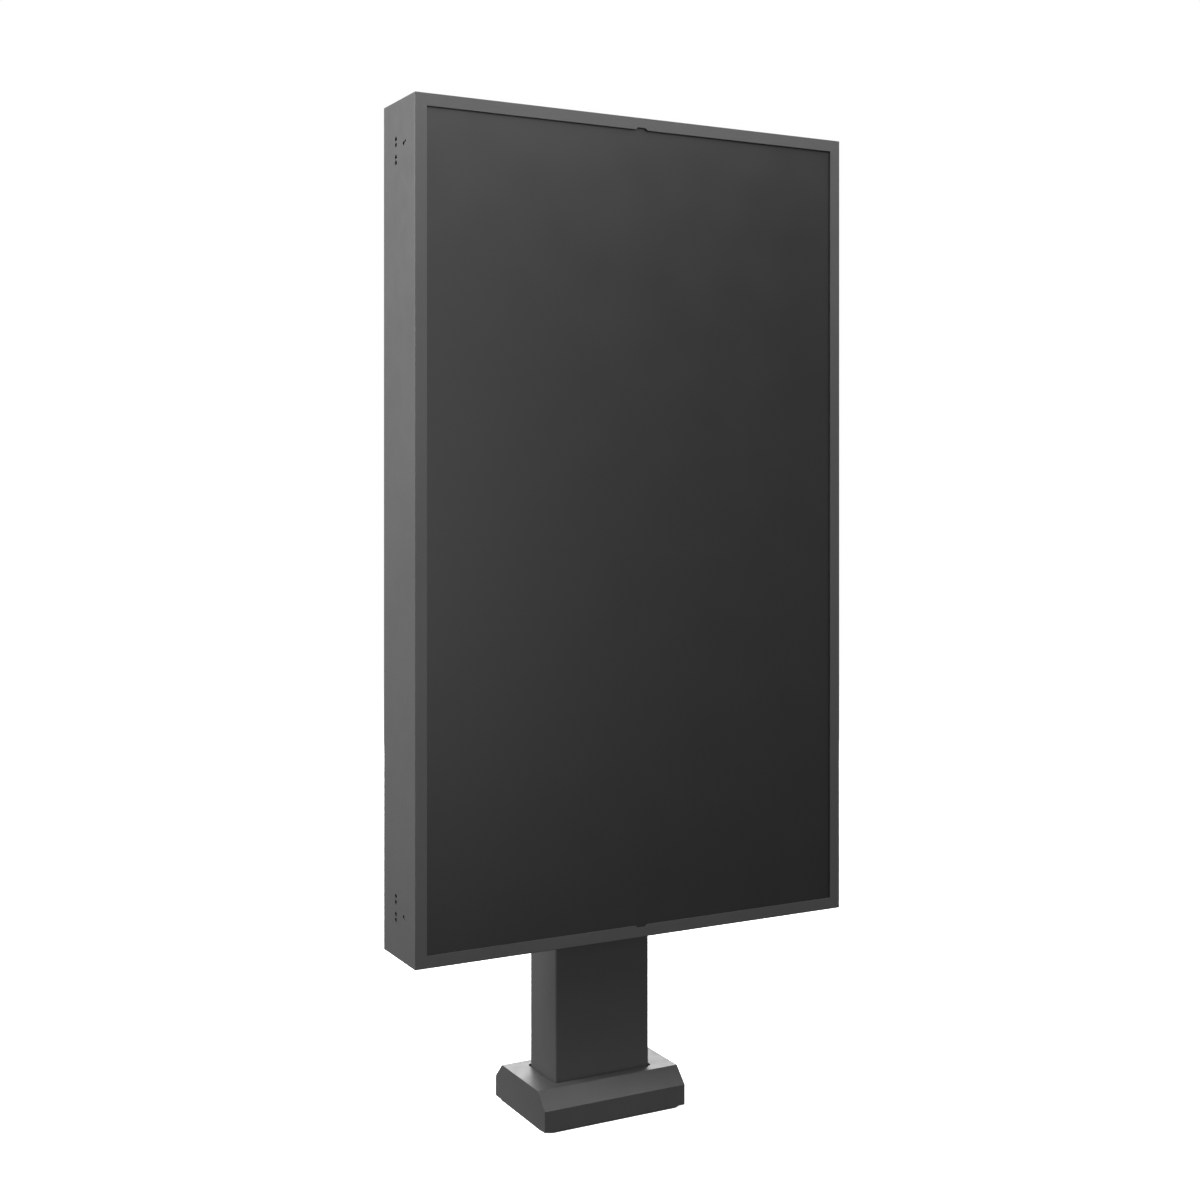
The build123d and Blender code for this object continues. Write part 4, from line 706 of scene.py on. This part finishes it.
def build_terminal_screws():
    """Clamp screws: on the supply's terminals, the breaker and the rail's terminal blocks."""
    screws, painted_shade_crosses = bmesh.new(), bmesh.new()
    low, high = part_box("supply_terminals")
    count, pitch = 9, 10 * MM
    for step in range(count):
        x = (low[0] + high[0]) / 2 + (step - (count - 1) / 2) * pitch
        place = along_y(x, high[1] - 7 * MM, low[2] + 5.5 * MM, sign=-1)
        pan_head(screws, place, 3.2 * MM, 2.2 * MM)
        recess_shade_cross(painted_shade_crosses, place @ Matrix.Translation((0, 0, 2.3 * MM)), 3.0 * MM)
    low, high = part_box("circuit_breaker")
    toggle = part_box("breaker_toggle")
    shoulder = low[1] + 7 * MM
    for side in (-1, 1):
        for end in (-1, 1):
            x = (low[0] + high[0]) / 2 + side * 9 * MM
            z = (low[2] + high[2]) / 2 + end * 33 * MM
            place = along_y(x, shoulder - 0.2 * MM, z, sign=-1)
            pan_head(screws, place, 3.4 * MM, 0.9 * MM)
            recess_shade_cross(painted_shade_crosses, place @ Matrix.Translation((0, 0, 0.95 * MM)), 3.2 * MM)
    for low, high in solids("terminal_blocks"):
        for end in (-1, 1):
            x = (low.x + high.x) / 2
            z = (low.z + high.z) / 2 + end * 8 * MM
            place = along_y(x, low.y - 0.1 * MM, z, sign=-1)
            pan_head(screws, place, 2.6 * MM, 0.8 * MM)
            recess_shade_cross(painted_shade_crosses, place @ Matrix.Translation((0, 0, 0.85 * MM)), 2.4 * MM)
    piece("terminal_screws", "stand", "zinc_plated_steel", screws)
    # Painted shade: the dark crosses stand in for the shade inside the drive recesses, which are not cut into the
    # heads.
    piece("terminal_screw_drives_painted_shade", "stand", "black_oxide_steel", painted_shade_crosses)
    seam = bmesh.new()
    low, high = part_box("circuit_breaker")
    middle_x = (low[0] + high[0]) / 2
    block(seam, (middle_x - 0.3 * MM, shoulder - 0.05 * MM, low[2] + 3 * MM),
          (middle_x + 0.3 * MM, shoulder + 0.5 * MM, toggle[0][2] - 9 * MM))
    piece("breaker_seam", "stand", "black_plastic", seam)


def build_player_ports():
    """Sockets on the media player's lower side: two USB, one network and one picture output. Each is a solid shell
    whose open mouth is a thin black plate on its face, painted shade in place of the hollow.
    """
    low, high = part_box("media_player_case")
    shells, painted_shade_openings = bmesh.new(), bmesh.new()
    back = high[1]
    x = low[0] + 24 * MM
    for width, height, gap in ((14, 7, 8), (14, 7, 8), (16, 13.5, 10), (15, 5.5, 10)):
        left, right = x, x + width * MM
        y = back - 10 * MM
        block(shells, (left, y - height * MM, low[2] - 0.6 * MM), (right, y, low[2] + 1.5 * MM),
              edge=0.4 * MM)
        # Painted shade: a thin black plate on each shell's face stands in for the socket's hollow mouth.
        block(painted_shade_openings, (left + 1 * MM, y - (height - 1) * MM, low[2] - 0.75 * MM),
              (right - 1 * MM, y - 1 * MM, low[2] - 0.55 * MM))
        x = right + gap * MM
    piece("player_port_shells", "stand", "stainless_steel", shells)
    piece("player_port_openings_painted_shade", "stand", "black_plastic", painted_shade_openings)


for group, owner, finish, shank in (
    ("hatch_screws", "stand", "black_oxide_steel", 2.0 * MM),
    ("hinge_screws", "stand", "black_oxide_steel", 2.5 * MM),
    ("fan_screws", "stand", "black_oxide_steel", 2.0 * MM),
    ("rail_screws", "door", "zinc_plated_steel", 2.5 * MM),
    ("display_screws", "door", "zinc_plated_steel", 3.0 * MM),
):
    build_screws(group, owner, finish, shank)
build_bolts()
build_nuts("mount_nuts", "stand", 4.0 * MM)
build_nuts("clip_nuts", "door", 2.0 * MM)
build_latch_nuts()
build_column_welds()
build_gusset_welds()
for fan_side in ("left", "right"):
    build_rotor(fan_side)
build_tray_embossing()
build_boards()
build_terminal_screws()
build_player_ports()


# ---------------------------------------------------------------- camera
CAMERA_PLACE = (-1.308, -2.478, 1.045)
CAMERA_TURN = math.radians(28.19)      # to the right of straight ahead
LENS = 50.0
SENSOR = 36.0
VIEW_SHIFT = -0.0998                   # the view is level, and shifted down to frame the kiosk

camera_data = bpy.data.cameras.new("camera")
camera_data.lens = LENS
camera_data.sensor_width = SENSOR
camera_data.shift_y = VIEW_SHIFT
camera = bpy.data.objects.new("camera", camera_data)
camera.location = CAMERA_PLACE
camera.rotation_euler = (math.pi / 2, 0, -CAMERA_TURN)
bpy.context.scene.collection.objects.link(camera)
bpy.context.scene.camera = camera


# ---------------------------------------------------------------- floor
FLOOR_RADIUS = 7.0
FLOOR_FADE_START = 2.5
FLOOR_GLOW = 0.9


def build_floor():
    """A white studio floor that melts into the white surroundings away from the kiosk."""
    mesh = bpy.data.meshes.new("floor")
    shape = bmesh.new()
    bmesh.ops.create_circle(shape, cap_ends=True, radius=FLOOR_RADIUS, segments=96)
    shape.to_mesh(mesh)
    shape.free()
    floor = bpy.data.objects.new("floor", mesh)
    bpy.context.scene.collection.objects.link(floor)
    material = bpy.data.materials.new("studio_floor")
    material.use_nodes = True
    tree = material.node_tree
    shader = tree.nodes["Principled BSDF"]
    shader.inputs["Base Color"].default_value = (0.85, 0.85, 0.85, 1)
    shader.inputs["Roughness"].default_value = 0.9
    shader.inputs["Emission Color"].default_value = (1, 1, 1, 1)
    shader.inputs["Emission Strength"].default_value = FLOOR_GLOW
    place = tree.nodes.new("ShaderNodeTexCoord")
    length = tree.nodes.new("ShaderNodeVectorMath")
    length.operation = "LENGTH"
    fade = tree.nodes.new("ShaderNodeMapRange")
    for socket, value in (("From Min", FLOOR_FADE_START), ("From Max", FLOOR_RADIUS * 0.95),
                          ("To Min", 1.0), ("To Max", 0.0)):
        fade.inputs[socket].default_value = value
    tree.links.new(place.outputs["Object"], length.inputs[0])
    tree.links.new(length.outputs["Value"], fade.inputs["Value"])
    tree.links.new(fade.outputs["Result"], shader.inputs["Alpha"])
    mesh.materials.append(material)
    floor.visible_glossy = False
    floor.visible_diffuse = False


build_floor()


# ---------------------------------------------------------------- light
# Each softbox: name, place, point it faces, width, height, watts
SOFTBOXES = (
    ("side_softbox", (-3.2, 0.3, 2.8), (0.0, 0.0, 1.2), 2.2, 2.2, 355.0),
    ("top_softbox", (0.6, -1.2, 3.0), (0.0, 0.0, 1.4), 1.6, 1.6, 50.0),
    ("upper_front_softbox", (-0.3, -2.4, 3.0), (0.0, 0.0, 1.2), 1.8, 1.8, 30.0),
    ("edge_softbox", (0.8, -0.5, 3.0), (0.3, -0.1, 1.3), 1.2, 1.2, 28.0),
    ("front_softbox", (0.0, -3.6, 0.9), (0.0, 0.0, 1.0), 2.0, 2.0, 31.0),
    ("back_softbox", (1.7, 3.3, 1.0), (0.0, 0.0, 0.3), 3.0, 1.6, 150.0),
)
AMBIENT_ABOVE = 0.1
AMBIENT_LEVEL = 0.38
AMBIENT_BELOW = 0.04


def build_softboxes():
    for name, place, target, width, height, watts in SOFTBOXES:
        data = bpy.data.lights.new(name, "AREA")
        data.shape = "RECTANGLE"
        data.size = width
        data.size_y = height
        data.energy = watts
        box = bpy.data.objects.new(name, data)
        box.location = place
        box.rotation_euler = (Vector(target) - Vector(place)).to_track_quat("-Z", "Y").to_euler()
        box.visible_camera = False
        bpy.context.scene.collection.objects.link(box)


def build_surroundings():
    """White for the eye, and a soft glow on the kiosk that is brighter above the horizon than below."""
    world = bpy.data.worlds.new("surroundings")
    bpy.context.scene.world = world
    world.use_nodes = True
    tree = world.node_tree
    tree.nodes.clear()
    output = tree.nodes.new("ShaderNodeOutputWorld")
    seen = tree.nodes.new("ShaderNodeBackground")
    seen.inputs["Color"].default_value = (1, 1, 1, 1)
    glow = tree.nodes.new("ShaderNodeBackground")
    mix = tree.nodes.new("ShaderNodeMixShader")
    path = tree.nodes.new("ShaderNodeLightPath")
    place = tree.nodes.new("ShaderNodeTexCoord")
    split = tree.nodes.new("ShaderNodeSeparateXYZ")
    height = tree.nodes.new("ShaderNodeMapRange")
    height.inputs["From Min"].default_value = -1.0
    ramp = tree.nodes.new("ShaderNodeValToRGB")
    stops = ((0.30, AMBIENT_BELOW), (0.5, AMBIENT_LEVEL), (0.75, AMBIENT_ABOVE))
    ramp.color_ramp.elements.new(stops[1][0])
    for element, (stop, level) in zip(ramp.color_ramp.elements, stops):
        element.position = stop
        element.color = (level, level, level, 1)
    tree.links.new(place.outputs["Generated"], split.inputs["Vector"])
    tree.links.new(split.outputs["Z"], height.inputs["Value"])
    tree.links.new(height.outputs["Result"], ramp.inputs["Fac"])
    tree.links.new(ramp.outputs["Color"], glow.inputs["Color"])
    tree.links.new(path.outputs["Is Camera Ray"], mix.inputs["Fac"])
    tree.links.new(glow.outputs["Background"], mix.inputs[1])
    tree.links.new(seen.outputs["Background"], mix.inputs[2])
    tree.links.new(mix.outputs["Shader"], output.inputs["Surface"])


build_softboxes()
build_surroundings()
bpy.context.scene.view_settings.view_transform = "Standard"
